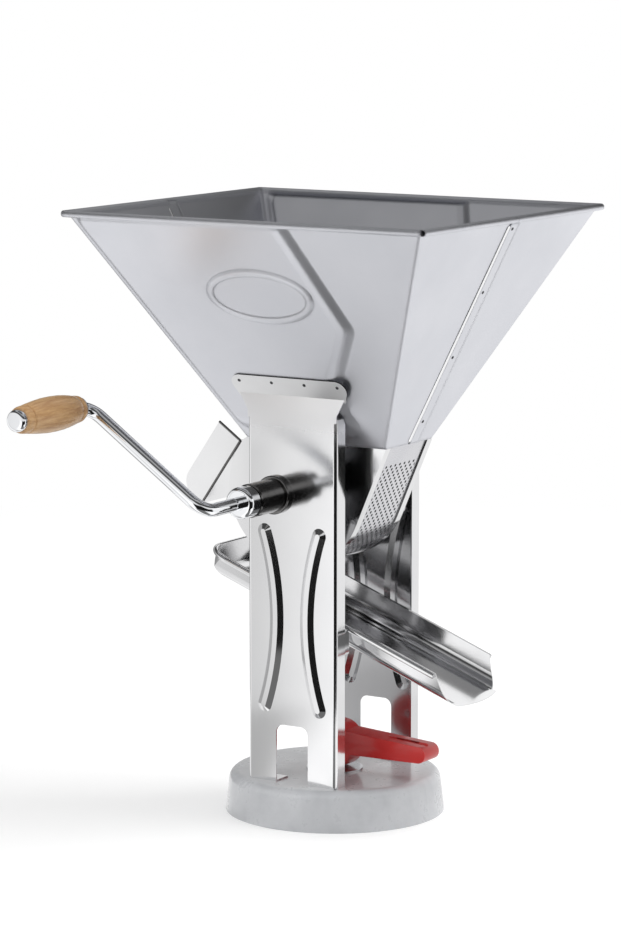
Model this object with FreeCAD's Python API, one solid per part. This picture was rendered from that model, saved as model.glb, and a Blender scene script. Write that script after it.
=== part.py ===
"""Hand-cranked tomato press: flared hopper over a rotor trough, stamped legs, juice tray and suction base.

Millimetres. Origin on the table under the middle of the base, +Z up, +X towards the juice spout and
-Y towards the crank.
"""
import FreeCAD
import Part
import math
import os

Vector = FreeCAD.Vector

# Hopper
rim_height = 510.0
mouth_width = 340.0
mouth_depth = 296.0
hopper_height = 193.0
throat_left = 64.0
throat_right = 72.0
throat_depth = 75.4
hopper_sheet = 0.8
rim_bead_radius = 2.8
hopper_corner = 3.0
seam_lap = 12.0
seam_offset = 1.5
skin_slot_height = 18.0

# Raised panel and oval pressed into the hopper's front and rear walls
panel_raise = 4.0
panel_ramp = ((0.0, 0.0), (7.5, 3.0), (14.0, panel_raise))
panel_hem = 3.6
panel_top_drop = -6.0
panel_top_half = 41.0
panel_shoulder_drop = 103.0
panel_shoulder_half = 79.0
panel_waist_drop = 161.0
panel_waist_half = 49.0
panel_neck_drop = 187.0
panel_foot_drop = 213.0
panel_foot_half = 60.0
panel_edge_inset = 6.0
panel_corner = 12.0
oval_width = 102.0
oval_length = 54.0
oval_drop = 72.0
oval_raise = 1.4
oval_slope = 2.4
oval_border = 4.0
oval_sink = 0.8

# Rotor axis and trough
axis_x = -16.3
axis_drop = 40.6
trough_radius = 65.0
lip_angle = 145.2
screen_end_angle = -160.0
end_sheet = 1.2
end_flange = 6.5
trough_sheet_thickness = 0.8
fit_gap = 0.1
run_gap = 0.05

# Perforations of the screen
hole_diameter = 1.7
hole_pitch = 7.4
row_pitch = 3.3
screen_margin = 5.0
screen_top_band = 19.0

# Skins chute
chute_length = 69.0
chute_cheek = 26.0
chute_corner = 14.0
chute_sheet = 0.8
chute_hem = 4.0
chute_clearance = 3.0

# Legs
leg_face = 68.0
leg_width = 86.0
leg_sheet = 1.2
leg_flange = 14.0
leg_bend = 3.0
leg_shoulder = 14.0
leg_notch = 3.0
leg_crease_half = 51.0
leg_tab_half = 60.0
leg_tab = 21.0
leg_tab_corner = 9.0
leg_foot = 18.0
rib_drop = 31.4
rib_length = 146.0
rib_end_x = 26.5
rib_waist_x = 14.7
rib_half_width = 6.6
rib_raise = 2.8
rib_slope = 4.4
cutout_half = 15.5
cutout_height = 49.0
cutout_corner = 7.0

# Bushings, shaft and rotor
shaft_radius = 6.0
bushing_wall = 8.0
bushing_reach = 40.0
bushing_chamfer = 1.0
rear_bushing_reach = 8.0
collar_wall = 2.2
collar_width = 5.0
collar_round = 1.2
shaft_tail = 6.0
end_play = 0.3
drum_radius = 40.0
drum_end_gap = 1.0
blade_count = 4
blade_angle = 20.0
blade_width = 6.0
blade_slot_depth = 12.0
blade_tip_gap = 0.4
blade_end_gap = 0.5
rotor_pin_radius = 2.0
rotor_pin_inset = 1.0
rotor_pin_angle = 65.0
washer_wall = 4.0
washer_thickness = 1.5
ring_wall = 2.5
ring_thickness = 1.2
ring_groove = 0.6

# Crank
thrust_washer_wall = 5.4
thrust_washer_thickness = 1.4
coupling_wall = 7.2
coupling_length = 13.6
coupling_round = 3.5
coupling_screw_radius = 2.0
crank_neck = 35.7
crank_throw = 136.0
crank_angle = 145.4
crank_bend = 14.0
rod_radius = 5.5
grip_length = 80.0
grip_end_radius = 11.0
grip_belly_radius = 14.5
grip_round = 2.5
grip_cap_radius = 9.0
grip_cap_length = 6.0
grip_cap_round = 3.6

# Juice tray
tray_slope = 20.8
tray_drop = 26.9
tray_left = 97.0
tray_right = 130.0
tray_side_gap = 4.8
tray_wall_lean = 5.5
tray_depth = 22.0
tray_round = 13.0
tray_sheet = 0.8
tray_bead_radius = 2.3
tray_corner = 20.0
tray_end_lean = 13.0
tray_end_round = 14.0
tray_lip = 12.0
tongue_bow = 8.0
clip_sheet = 1.5
clip_height = 17.0
clip_gap = 0.3
stop_length = 4.0
stop_height = 3.5

# Base with suction cup
base_height = 34.0
base_margin = 8.2
base_flare = 4.0
base_sheet = 1.5
base_round = 8.0
cup_edge_gap = 7.5
cup_edge_width = 12.0
cup_wall = 4.0
cup_dome = 18.0
cup_hub_wall = 5.7
cup_floor = 1.7
stem_radius = 5.0
stem_head_radius = 11.0
stem_head_height = 3.0
stem_head_level = 13.0
stem_travel = 4.0
eye_radius = 7.0
eye_width = 10.0
eye_gap = 1.0
cam_washer_radius = 24.0
cam_washer_height = 1.5
cam_radius = 20.0
cam_gap = 0.3
lever_width = 24.0
lever_length = 88.0
lever_root_above = 15.0
lever_root_below = 6.0
lever_tip_radius = 7.0
lever_pin_radius = 3.0
rivet_radius = 2.0
rivet_head_radius = 4.2
rivet_head_height = 1.8
rivet_round = 1.1
rivet_inset = 9.0

# How far a cutting tool passes beyond the faces it cuts
overcut = 1.0

# Worked out from the driving sizes
throat_z = rim_height - hopper_height
axis_z = throat_z - axis_drop
front_run = (mouth_depth - throat_depth) / 2 / hopper_height
left_run = (mouth_width / 2 - throat_left) / hopper_height
right_run = (mouth_width / 2 - throat_right) / hopper_height
end_face = throat_depth / 2
end_inner = end_face - end_sheet
sheet_outer = trough_radius - end_sheet
sheet_inner = sheet_outer - trough_sheet_thickness
corner_reach = math.hypot(throat_right - axis_x, axis_drop)
corner_angle = math.degrees(math.atan2(axis_drop, throat_right - axis_x))
screen_slope = math.degrees(math.acos(trough_radius / corner_reach)) - corner_angle
slope = math.radians(screen_slope)
bushing_radius = shaft_radius + bushing_wall
bushing_end = leg_face + bushing_reach
rear_bushing_end = leg_face + rear_bushing_reach
coupling_rear = -bushing_end - 2 * end_play - thrust_washer_thickness
coupling_front = coupling_rear - coupling_length
crank_plane = -coupling_front + crank_neck + crank_bend
blade_root = drum_radius - blade_slot_depth
tray_rim_height = axis_z - trough_radius - tray_drop
tray_half_width = leg_face - leg_flange - tray_side_gap - 2 * tray_bead_radius + tray_sheet
base_top_radius = math.hypot(leg_width / 2, leg_face) + base_margin
base_radius = base_top_radius + base_flare
cup_radius = base_radius - base_sheet - cup_edge_gap


def slant(run):
    """Length along a wall per unit of height."""
    return math.hypot(1.0, run)


def direction(degrees):
    """Unit vector in the XZ plane, measured from +X towards +Z."""
    return Vector(math.cos(math.radians(degrees)), 0, math.sin(math.radians(degrees)))


def axis_point(y=0.0):
    return Vector(axis_x, y, axis_z)


def box(x0, x1, y0, y1, z0, z1):
    return Part.makeBox(x1 - x0, y1 - y0, z1 - z0, Vector(x0, y0, z0))


def rod_y(radius, y0, y1, centre=None):
    """Round bar along Y about the rotor axis or another centre."""
    place = centre or axis_point()
    return Part.makeCylinder(radius, y1 - y0, Vector(place.x, y0, place.z), Vector(0, 1, 0))


def ring_y(outer, inner, y0, y1, centre=None):
    return rod_y(outer, y0, y1, centre).cut(rod_y(inner, y0 - overcut, y1 + overcut, centre))


def rod_z(radius, z0, z1, x=0.0, y=0.0):
    return Part.makeCylinder(radius, z1 - z0, Vector(x, y, z0))


def polygon(points):
    return Part.makePolygon(list(points) + [points[0]])


def rounded(points, radii):
    """Closed outline of straight runs whose corners are rounded by the radii given, 0 for a sharp one."""
    edges = []
    ends = []
    count = len(points)
    for i, corner in enumerate(points):
        to_last = (points[i - 1] - corner).normalize()
        to_next = (points[(i + 1) % count] - corner).normalize()
        half = to_last.getAngle(to_next) / 2
        reach = radii[i] / math.tan(half)
        start = corner + to_last * reach
        stop = corner + to_next * reach
        ends.append((start, stop))
        if radii[i] > 0:
            middle = (to_last + to_next).normalize()
            top = corner + middle * (radii[i] / math.sin(half) - radii[i])
            edges.append(Part.Arc(start, top, stop).toShape())
    runs = []
    for i in range(count):
        if radii[i] > 0:
            runs.append(edges.pop(0))
        runs.append(Part.makeLine(ends[i][1], ends[(i + 1) % count][0]))
    return Part.Wire(runs)


def inset(points, distances):
    """Corners of an outline in the XY plane, listed counter-clockwise, once each run moves inwards by its distance."""
    moved = []
    count = len(points)
    for i in range(count):
        a = (points[i] - points[i - 1]).normalize()
        b = (points[(i + 1) % count] - points[i]).normalize()
        normal_a = Vector(-a.y, a.x, 0)
        normal_b = Vector(-b.y, b.x, 0)
        shared = normal_a.dot(normal_b)
        along_a = (distances[i - 1] - shared * distances[i]) / (1 - shared ** 2)
        along_b = (distances[i] - shared * distances[i - 1]) / (1 - shared ** 2)
        moved.append(points[i] + normal_a * along_a + normal_b * along_b)
    return moved


def lifted(points, height):
    return [p + Vector(0, 0, height) for p in points]


def solid_between(lower, upper):
    return Part.makeLoft([lower, upper], True, True)


def placed(shape, origin, u, v, w):
    """Copy of a shape drawn in its own frame, set at an origin on the axes u, v and w."""
    copy = shape.copy()
    copy.Placement = FreeCAD.Placement(
        FreeCAD.Matrix(u.x, v.x, w.x, origin.x, u.y, v.y, w.y, origin.y, u.z, v.z, w.z, origin.z, 0, 0, 0, 1))
    return copy


def mirrored(shape):
    """The rear twin of a piece at the front."""
    return shape.mirror(Vector(0, 0, 0), Vector(0, 1, 0))


def on_front_wall(shape):
    """Set a shape on the front wall: x along the rim, y up the wall from the rim, z outwards."""
    length = slant(front_run)
    u = Vector(1, 0, 0)
    v = Vector(0, -front_run / length, 1 / length)
    return placed(shape, Vector(0, -mouth_depth / 2, rim_height), u, v, u.cross(v))


def pressed(sheet, bulge, step):
    """Press a bulge out of sheet metal: the same form is added outside and taken away one sheet deeper."""
    hollow = bulge.copy()
    hollow.translate(step)
    return sheet.fuse(bulge).cut(hollow)


def dented(sheet, dent, step):
    """Press a dent into sheet metal: the form is taken away outside and added one sheet deeper."""
    bump = dent.copy()
    bump.translate(step)
    return sheet.fuse(bump).cut(dent)


# Hopper
def frustum(grow):
    """Solid inside the hopper's outer faces, with every wall moved outwards."""
    side = grow * slant(front_run)
    left = grow * slant(left_run)
    right = grow * slant(right_run)

    def corners(x0, x1, half, z):
        return [Vector(x0, -half, z), Vector(x1, -half, z), Vector(x1, half, z), Vector(x0, half, z)]

    top = corners(-mouth_width / 2 - left, mouth_width / 2 + right, mouth_depth / 2 + side, rim_height)
    throat = corners(-throat_left - left, throat_right + right, throat_depth / 2 + side, throat_z)
    walls = [[throat[i - 1], throat[i], top[i], top[i - 1]] for i in range(4)]
    faces = [Part.Face(polygon(points)) for points in walls + [top, throat]]
    solid = Part.Solid(Part.Shell(faces))
    corner_edges = [e for e in solid.Edges if e.BoundBox.ZLength > hopper_height / 2]
    return solid.makeFillet(hopper_corner + grow, corner_edges)


def panel_form():
    """Raised panel on the wall, drawn in the wall's own frame."""
    right = [
        Vector(panel_foot_half, -panel_foot_drop, 0),
        Vector(panel_waist_half, -panel_neck_drop, 0),
        Vector(panel_waist_half, -panel_waist_drop, 0),
        Vector(panel_shoulder_half, -panel_shoulder_drop, 0),
        Vector(panel_top_half, -panel_top_drop, 0),
    ]

    def left_edge(drop):
        """Place beside the front wall's left edge at a distance down the wall."""
        wall_edge = -mouth_width / 2 + left_run * drop / slant(front_run)
        return Vector(wall_edge + panel_edge_inset, -drop, 0)

    outline = right + [left_edge(panel_top_drop), left_edge(panel_foot_drop)]
    sections = []
    for run, level in panel_ramp:
        hem = panel_hem * level / panel_raise
        corners = lifted(inset(outline, [run, run, run, run, hem, hem, run]), level)
        sections.append(rounded(corners, [panel_corner] * len(corners)))
    return Part.makeLoft(sections, True, True)


def oval_form(width, length, low, high, lean):
    """Oval boss or dish between two levels above the wall."""
    def ellipse(shrink, level):
        curve = Part.Ellipse(Vector(0, -oval_drop, level), width / 2 - shrink, length / 2 - shrink)
        return Part.Wire(curve.toShape())

    return solid_between(ellipse(0, low), ellipse(lean, high))


def rim_bead_solid(inner):
    """The rolled rim as four bars, one along the top of each wall, or the hollow inside them."""
    radius = rim_bead_radius - (hopper_sheet if inner else 0.0)
    level = rim_height - rim_bead_radius

    def reach(half, run):
        return half - run * rim_bead_radius + rim_bead_radius - hopper_sheet

    bars = []
    for side, run in ((-1, left_run), (1, right_run)):
        along_y = Vector(side * reach(mouth_width / 2, run), -mouth_depth / 2, level)
        bars.append(Part.makeCylinder(radius, mouth_depth, along_y, Vector(0, 1, 0)))
        along_x = Vector(-mouth_width / 2, side * reach(mouth_depth / 2, front_run), level)
        bars.append(Part.makeCylinder(radius, mouth_width, along_x, Vector(1, 0, 0)))
    return bars


def hopper_halves():
    """Front and rear half shells, lapped at the middle of the side walls."""
    wide = mouth_width
    high = rim_height + overcut
    slot_top = throat_z + skin_slot_height
    shell = frustum(0).cut(frustum(-hopper_sheet))
    slot = box(-wide, -throat_left / 2, -end_inner, end_inner, throat_z - overcut, slot_top)
    length = slant(front_run)
    inwards = Vector(0, 1 / length, front_run / length) * hopper_sheet
    panel = on_front_wall(panel_form())
    shell = pressed(shell.cut(slot), panel, inwards)
    shell = pressed(shell, mirrored(panel), Vector(inwards.x, -inwards.y, inwards.z))
    shell = shell.common(box(-wide, wide, -wide, wide, 0, rim_height - rim_bead_radius))
    beads = rim_bead_solid(False)
    hollows = rim_bead_solid(True)
    front_space = box(-wide, wide, -wide, 0, 0, high)
    rear_space = box(-wide, wide, 0, wide, 0, high)
    lap_space = box(-wide, wide, -wide, seam_lap, 0, high)
    far_space = box(-wide, wide, seam_lap, wide, 0, high)

    front_beads = [bead.common(front_space) for bead in beads if bead.BoundBox.YMin < 0]
    rear_beads = [bead.common(rear_space) for bead in beads if bead.BoundBox.YMax > 0]
    front = shell.common(lap_space).cut(rear_beads).fuse(front_beads).cut(hollows)
    crest = panel_raise + oval_raise
    border = 2 * (oval_slope + oval_border)
    oval = on_front_wall(oval_form(oval_width, oval_length, panel_raise, crest, oval_slope))
    dish_form = oval_form(oval_width - border, oval_length - border, crest, crest - oval_sink, oval_sink)
    dish = on_front_wall(dish_form)
    front = dented(pressed(front, oval, inwards), dish, inwards)

    strip_end = seam_lap + 2 * hopper_sheet
    strip_space = box(-wide, wide, -seam_offset, strip_end, throat_z, rim_height - 2 * rim_bead_radius)
    strip = frustum(hopper_sheet).cut(frustum(0)).common(strip_space)
    strip = strip.cut(box(-wide, 0, -wide, wide, throat_z - overcut, slot_top))
    rear = shell.common(far_space).fuse(strip.Solids).fuse(rear_beads).cut(hollows)
    return front.removeSplitter(), rear.removeSplitter()


# Trough
def trough_path(radius, first, last):
    """Edges of the trough's section at a radius: down the straight right side, then round to an angle.

    first is None to begin at the throat, or the angle to begin at.
    """
    tangent = axis_point() + direction(-screen_slope) * radius
    rise = (throat_z - tangent.z) / math.cos(slope)
    top = tangent + Vector(math.sin(slope), 0, math.cos(slope)) * rise
    start = -screen_slope if first is None else first
    middle = (start + last) / 2
    arc = Part.Arc(
        axis_point() + direction(start) * radius,
        axis_point() + direction(middle) * radius,
        axis_point() + direction(last) * radius)
    edges = [arc.toShape()]
    if first is None:
        edges.insert(0, Part.makeLine(top, tangent))
    return edges


def path_ends(edges):
    return edges[0].firstVertex(True).Point, edges[-1].lastVertex(True).Point


def band(outer, inner, first, last, y0, y1):
    """Sheet that follows the trough's section between two radii."""
    outside = trough_path(outer, first, last)
    inside = trough_path(inner, first, last)
    out_start, out_stop = path_ends(outside)
    in_start, in_stop = path_ends(inside)
    wire = Part.Wire(Part.__sortEdges__(
        outside + [Part.makeLine(out_stop, in_stop)] + inside + [Part.makeLine(in_start, out_start)]))
    face = Part.Face(wire)
    face.translate(Vector(0, y0, 0))
    return face.extrude(Vector(0, y1 - y0, 0))


def front_end_plate():
    """Flat end of the trough with a flange turned inwards round its edge, bored for the bushing."""
    edges = trough_path(trough_radius, None, lip_angle - 360)
    start, stop = path_ends(edges)
    corner = Vector(-throat_left, 0, throat_z)
    wire = Part.Wire(Part.__sortEdges__(edges + [Part.makeLine(stop, corner), Part.makeLine(corner, start)]))
    face = Part.Face(wire)
    face.translate(Vector(0, -end_face, 0))
    plate = face.extrude(Vector(0, end_sheet, 0))
    flange = band(trough_radius, sheet_outer, None, lip_angle - 360, -end_inner, -end_inner + end_flange)
    plate = plate.fuse(flange)
    bore = rod_y(bushing_radius + run_gap, -end_face - overcut, -end_inner + overcut)
    return plate.cut(bore).removeSplitter()


def screen_rows():
    """Middle point and outward normal of each row of holes down the screen."""
    radius = (sheet_outer + sheet_inner) / 2
    normal = direction(-screen_slope)
    tangent = axis_point() + normal * radius
    straight = (throat_z - tangent.z) / math.cos(slope)
    turn = math.radians(-screen_slope - screen_end_angle) * radius
    rows = []
    along = screen_top_band
    while along < straight + turn - screen_margin:
        if along < straight:
            back = Vector(math.sin(slope), 0, math.cos(slope)) * (straight - along)
            rows.append((tangent + back, normal))
        else:
            turned = direction(-screen_slope - math.degrees((along - straight) / radius))
            rows.append((axis_point() + turned * radius, turned))
        along += row_pitch
    return rows


def strainer_screen():
    """Perforated sheet, with staggered rows of holes."""
    half = end_inner - fit_gap
    sheet = band(sheet_outer, sheet_inner, None, screen_end_angle, -half, half)
    holed = half - end_flange - screen_margin
    per_row = int(2 * holed / hole_pitch)
    reach = 2 * trough_sheet_thickness
    holes = []
    for number, (point, normal) in enumerate(screen_rows()):
        count = per_row + 1 - number % 2
        for i in range(count):
            y = (i - (count - 1) / 2) * hole_pitch
            foot = point + Vector(0, y, 0) - normal * reach
            holes.append(Part.makeCylinder(hole_diameter / 2, 2 * reach, foot, normal))
    return sheet.cut(Part.Compound(holes))


def trough_back():
    """Plain sheet of the trough from the end of the screen up to the lip over the chute."""
    half = end_inner - fit_gap
    return band(sheet_outer, sheet_inner, screen_end_angle, lip_angle - 360, -half, half)


def skin_chute():
    """Chute that carries the skins away: a floor tangent to the trough, two cheeks and hemmed front edges."""
    out = direction(lip_angle)
    down = direction(lip_angle + 90)
    origin = axis_point() + out * (trough_radius + fit_gap)

    across = Vector(0, 1, 0)
    half = throat_depth / 2
    outline = [
        Vector(0, -half, 0), Vector(chute_length, -half, 0), Vector(chute_length, -half, -chute_cheek),
        Vector(0, -half, -chute_cheek)]
    cheek = Part.Face(rounded(outline, [0, 0, chute_corner, 0])).extrude(across * chute_sheet)
    floor = box(0, chute_length, -half, half, -chute_sheet, 0)
    hem = box(0, chute_length, -half - chute_sheet, -half, -chute_hem, 0)
    form = floor.fuse([cheek, mirrored(cheek), hem, mirrored(hem)]).removeSplitter()
    return placed(form, origin, down, across, -out).cut(frustum(chute_clearance))


# Legs
def tab_crease():
    """Height where the leg's face bends to lie on the hopper wall."""
    offset = (panel_raise + leg_sheet) * slant(front_run)
    return rim_height - (mouth_depth / 2 + offset - leg_face) / front_run


def channel(z0, z1):
    """The leg's stamped channel: face and two flanges turned inwards, with rounded bends."""
    half = leg_width / 2
    back = -leg_face + leg_flange
    inside = -leg_face + leg_sheet
    points = [
        Vector(-half, back, z0), Vector(-half, -leg_face, z0),
        Vector(half, -leg_face, z0), Vector(half, back, z0),
        Vector(half - leg_sheet, back, z0), Vector(half - leg_sheet, inside, z0),
        Vector(-half + leg_sheet, inside, z0), Vector(-half + leg_sheet, back, z0)]
    inner = leg_bend - leg_sheet
    wire = rounded(points, [0, leg_bend, leg_bend, 0, 0, inner, inner, 0])
    return Part.Face(wire).extrude(Vector(0, 0, z1 - z0))


def rib_outline(half_width, y):
    """Curved rib on the left of the leg, bowed towards the middle."""
    rise = rib_length / 2
    sag = rib_end_x - rib_waist_x
    radius = (rise ** 2 + sag ** 2) / (2 * sag)
    centre = Vector(-rib_waist_x - radius, y, axis_z - rib_drop - rise)
    swing = math.degrees(math.asin(rise / radius))

    def at(reach, angle):
        return centre + direction(angle) * reach

    def end_cap(angle, side):
        return at(radius, angle) + direction(angle + 90 * side) * half_width

    low_in, low_out = at(radius - half_width, -swing), at(radius + half_width, -swing)
    top_in, top_out = at(radius - half_width, swing), at(radius + half_width, swing)
    return Part.Wire([
        Part.Arc(low_out, at(radius + half_width, 0), top_out).toShape(),
        Part.Arc(top_out, end_cap(swing, 1), top_in).toShape(),
        Part.Arc(top_in, at(radius - half_width, 0), low_in).toShape(),
        Part.Arc(low_in, end_cap(-swing, -1), low_out).toShape()])


def front_leg():
    """Stamped leg: channel with pressed ribs, shoulder, tab on the hopper wall, foot tabs and cut-out."""
    half = leg_width / 2
    crease = tab_crease()
    shoulder_foot = crease - leg_shoulder
    flange_top = shoulder_foot - leg_notch
    front = -leg_face
    inside = front + leg_sheet
    body = channel(base_height, flange_top)
    joint = crease + leg_sheet / 2
    shoulder = [
        Vector(-half, front, shoulder_foot), Vector(half, front, shoulder_foot),
        Vector(leg_crease_half, front, joint), Vector(-leg_crease_half, front, joint)]
    plate = Part.Face(polygon(shoulder)).extrude(Vector(0, leg_sheet, 0))
    web = box(-half, half, front, inside, flange_top - leg_bend, shoulder_foot)
    level = -(rim_height - crease) * slant(front_run)
    tab_points = [
        Vector(-leg_crease_half, level, panel_raise), Vector(leg_crease_half, level, panel_raise),
        Vector(leg_tab_half, level + leg_tab, panel_raise),
        Vector(-leg_tab_half, level + leg_tab, panel_raise)]
    tab_outline = rounded(tab_points, [0, 0, leg_tab_corner, leg_tab_corner])
    tab = Part.Face(tab_outline).extrude(Vector(0, 0, leg_sheet))
    foot_half = half - leg_bend
    foot = box(-foot_half, foot_half, front, front + leg_foot, base_height, base_height + leg_sheet)
    leg = body.fuse([plate, web, on_front_wall(tab), foot])

    wall_side = box(-leg_width, leg_width, -2 * hopper_height, 0, -2 * hopper_height, panel_raise)
    leg = leg.cut(on_front_wall(wall_side))
    rib_foot = rib_outline(rib_half_width, front)
    rib = solid_between(rib_foot, rib_outline(rib_half_width - rib_slope, front - rib_raise))
    for form in (rib, rib.mirror(Vector(0, 0, 0), Vector(1, 0, 0))):
        leg = pressed(leg, form, Vector(0, leg_sheet, 0))

    before = front - overcut
    below = base_height - overcut
    arch = [
        Vector(-cutout_half, before, below), Vector(cutout_half, before, below),
        Vector(cutout_half, before, base_height + cutout_height),
        Vector(-cutout_half, before, base_height + cutout_height)]
    arch_face = Part.Face(rounded(arch, [0, 0, cutout_corner, cutout_corner]))
    cutout = arch_face.extrude(Vector(0, leg_foot + 2 * overcut, 0))
    bore = rod_y(bushing_radius + run_gap, before, inside + overcut)
    over = base_height + leg_sheet + overcut
    holes = [rod_z(rivet_radius + run_gap, below, over, x, y) for x, y in rivet_places() if y < 0]
    return leg.cut(holes + [cutout, bore]).removeSplitter()


# Bushings, shaft and rotor
def front_rim(bar):
    """Round edge at the front end of a bar along Y."""
    return [e for e in bar.Edges if e.BoundBox.YMax < bar.BoundBox.YMin + run_gap]


def front_bushing():
    """Long sleeve from the trough's end plate through the leg to the crank."""
    sleeve = rod_y(bushing_radius, -bushing_end, -end_inner)
    sleeve = sleeve.makeChamfer(bushing_chamfer, front_rim(sleeve))
    return sleeve.cut(rod_y(shaft_radius + run_gap, -bushing_end - overcut, overcut))


def rear_bushing():
    return ring_y(bushing_radius, shaft_radius + run_gap, end_inner, rear_bushing_end)


def front_collar():
    collar = rod_y(bushing_radius + collar_wall, -leg_face - collar_width, -leg_face)
    collar = collar.makeFillet(collar_round, front_rim(collar))
    return collar.cut(rod_y(bushing_radius + run_gap, -bushing_end, 0))


def shaft_ends():
    """Front and rear ends of the rotor shaft along Y."""
    front = (coupling_front + coupling_rear) / 2
    return front, ring_place()[1] + shaft_tail


def ring_place():
    start = rear_bushing_end + end_play + washer_thickness
    return start, start + ring_thickness


def cross_pin(radius, reach):
    """Round bar through the rotor's axis, at the angle of its cross pin."""
    along = direction(rotor_pin_angle)
    return Part.makeCylinder(radius, 2 * reach, axis_point() - along * reach, along)


def rotor_pin_hole():
    return cross_pin(rotor_pin_radius + run_gap, drum_radius)


def rotor_shaft():
    front, rear = shaft_ends()
    ring_start, ring_stop = ring_place()
    waist = shaft_radius - ring_groove
    groove = ring_y(shaft_radius + overcut, waist, ring_start - run_gap, ring_stop + run_gap)
    return rod_y(shaft_radius, front, rear).cut([groove, rotor_pin_hole()])


def blade_angles():
    return [blade_angle + 360.0 / blade_count * i for i in range(blade_count)]


def blade_bar(tip, half_length, extra):
    """Flat bar on +X, from the bottom of its slot outwards, before it is turned to its angle."""
    width = blade_width + 2 * extra
    return box(axis_x + blade_root - extra, axis_x + tip, -half_length, half_length,
               axis_z - width / 2, axis_z + width / 2)


def turned_bars(bar):
    bars = []
    for angle in blade_angles():
        copy = bar.copy()
        copy.rotate(axis_point(), Vector(0, 1, 0), -angle)
        bars.append(copy)
    return bars


def rotor_drum():
    half = end_inner - drum_end_gap
    drum = ring_y(drum_radius, shaft_radius + run_gap, -half, half)
    slots = turned_bars(blade_bar(drum_radius + overcut, end_face, run_gap))
    return drum.cut(slots + [rotor_pin_hole()])


def wiper_blades():
    """Wiper blades set in the drum's slots, rounded to the trough at their tips."""
    tip = sheet_inner - blade_tip_gap
    bar = blade_bar(tip + overcut, end_inner - blade_end_gap, 0)
    return Part.Compound(turned_bars(bar.common(rod_y(tip, -end_face, end_face))))


def rotor_pin():
    return cross_pin(rotor_pin_radius, drum_radius - rotor_pin_inset)


def rear_washer():
    stop = ring_place()[0]
    return ring_y(shaft_radius + washer_wall, shaft_radius + run_gap, stop - washer_thickness, stop)


def retaining_ring():
    start, stop = ring_place()
    return ring_y(shaft_radius + ring_wall, shaft_radius - ring_groove + run_gap, start, stop)


# Crank
def thrust_washer():
    """Dark washer between the bushing's end and the coupling."""
    stop = coupling_rear + thrust_washer_thickness
    return ring_y(shaft_radius + thrust_washer_wall, shaft_radius + run_gap, coupling_rear, stop)


def screw_place():
    """Place on the shaft's axis under the coupling's set screw."""
    return axis_point((shaft_ends()[0] + coupling_rear) / 2)


def crank_coupling():
    """Chromed collar that joins the crank rod to the rotor shaft."""
    body = rod_y(shaft_radius + coupling_wall, coupling_front, coupling_rear)
    body = body.makeFillet(coupling_round, front_rim(body))
    middle = shaft_ends()[0]
    shaft_bore = rod_y(shaft_radius + run_gap, middle, coupling_rear + overcut)
    rod_bore = rod_y(rod_radius + run_gap, coupling_front - overcut, middle)
    thread_radius = coupling_screw_radius + run_gap
    reach = shaft_radius + coupling_wall + overcut
    thread = Part.makeCylinder(thread_radius, reach, screw_place(), Vector(0, 0, 1))
    return body.cut(shaft_bore.fuse([rod_bore, thread]))


def coupling_screw():
    foot = screw_place() + Vector(0, 0, shaft_radius + run_gap)
    length = coupling_wall - coupling_screw_radius
    return Part.makeCylinder(coupling_screw_radius, length, foot, Vector(0, 0, 1))


def crank_end():
    """Middle of the handle's spindle where it leaves the crank arm's plane."""
    return axis_point(-crank_plane) + direction(crank_angle) * crank_throw


def grip_start():
    return -crank_plane - crank_bend - washer_thickness - end_play


def spindle_tip():
    return grip_start() - grip_length - end_play - grip_cap_length / 2


def crank_rod():
    """Bent rod: out along the shaft's axis, along the arm and out again as the handle's spindle."""
    start = axis_point(shaft_ends()[0])
    corner = axis_point(-crank_plane)
    elbow = crank_end()
    tip = Vector(elbow.x, spindle_tip(), elbow.z)
    arm = direction(crank_angle)
    front = Vector(0, -1, 0)
    bend = crank_bend
    lean = bend * (1 - math.sqrt(0.5))

    def arc(point, before, after):
        middle = point + (after - before) * lean
        return Part.Arc(point - before * bend, middle, point + after * bend).toShape()

    path = Part.Wire([
        Part.makeLine(start, corner - front * bend), arc(corner, front, arm),
        Part.makeLine(corner + arm * bend, elbow - arm * bend), arc(elbow, arm, front),
        Part.makeLine(elbow + front * bend, tip)])
    section = Part.Wire(Part.makeCircle(rod_radius, start, front))
    return path.makePipeShell([section], True, False)


def grip_washer():
    elbow = crank_end()
    stop = -crank_plane - crank_bend
    return ring_y(rod_radius + washer_wall, rod_radius + run_gap, stop - washer_thickness, stop, elbow)


def crank_grip():
    """Turned handle, fuller in the middle, free to spin on its spindle."""
    elbow = crank_end()
    stop = grip_start()
    start = stop - grip_length

    def at(radius, y):
        return Vector(elbow.x + radius, y, elbow.z)

    belly = at(grip_belly_radius, (start + stop) / 2)
    side = Part.Arc(at(grip_end_radius, start), belly, at(grip_end_radius, stop))
    profile = Part.Wire([
        Part.makeLine(at(0, start), at(grip_end_radius, start)), side.toShape(),
        Part.makeLine(at(grip_end_radius, stop), at(0, stop)), Part.makeLine(at(0, stop), at(0, start))])
    body = Part.Face(profile).revolve(elbow, Vector(0, 1, 0), 360)
    rims = [e for e in body.Edges if e.BoundBox.YLength < run_gap and e.BoundBox.XLength > grip_end_radius]
    body = body.makeFillet(grip_round, rims)
    return body.cut(rod_y(rod_radius + run_gap, start - overcut, stop + overcut, elbow))


def grip_cap():
    """Domed cap pressed on the end of the spindle."""
    elbow = crank_end()
    stop = grip_start() - grip_length - end_play
    body = rod_y(grip_cap_radius, stop - grip_cap_length, stop, elbow)
    body = body.makeFillet(grip_cap_round, front_rim(body))
    return body.cut(rod_y(rod_radius + run_gap, spindle_tip() - run_gap, stop + overcut, elbow))


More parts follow.
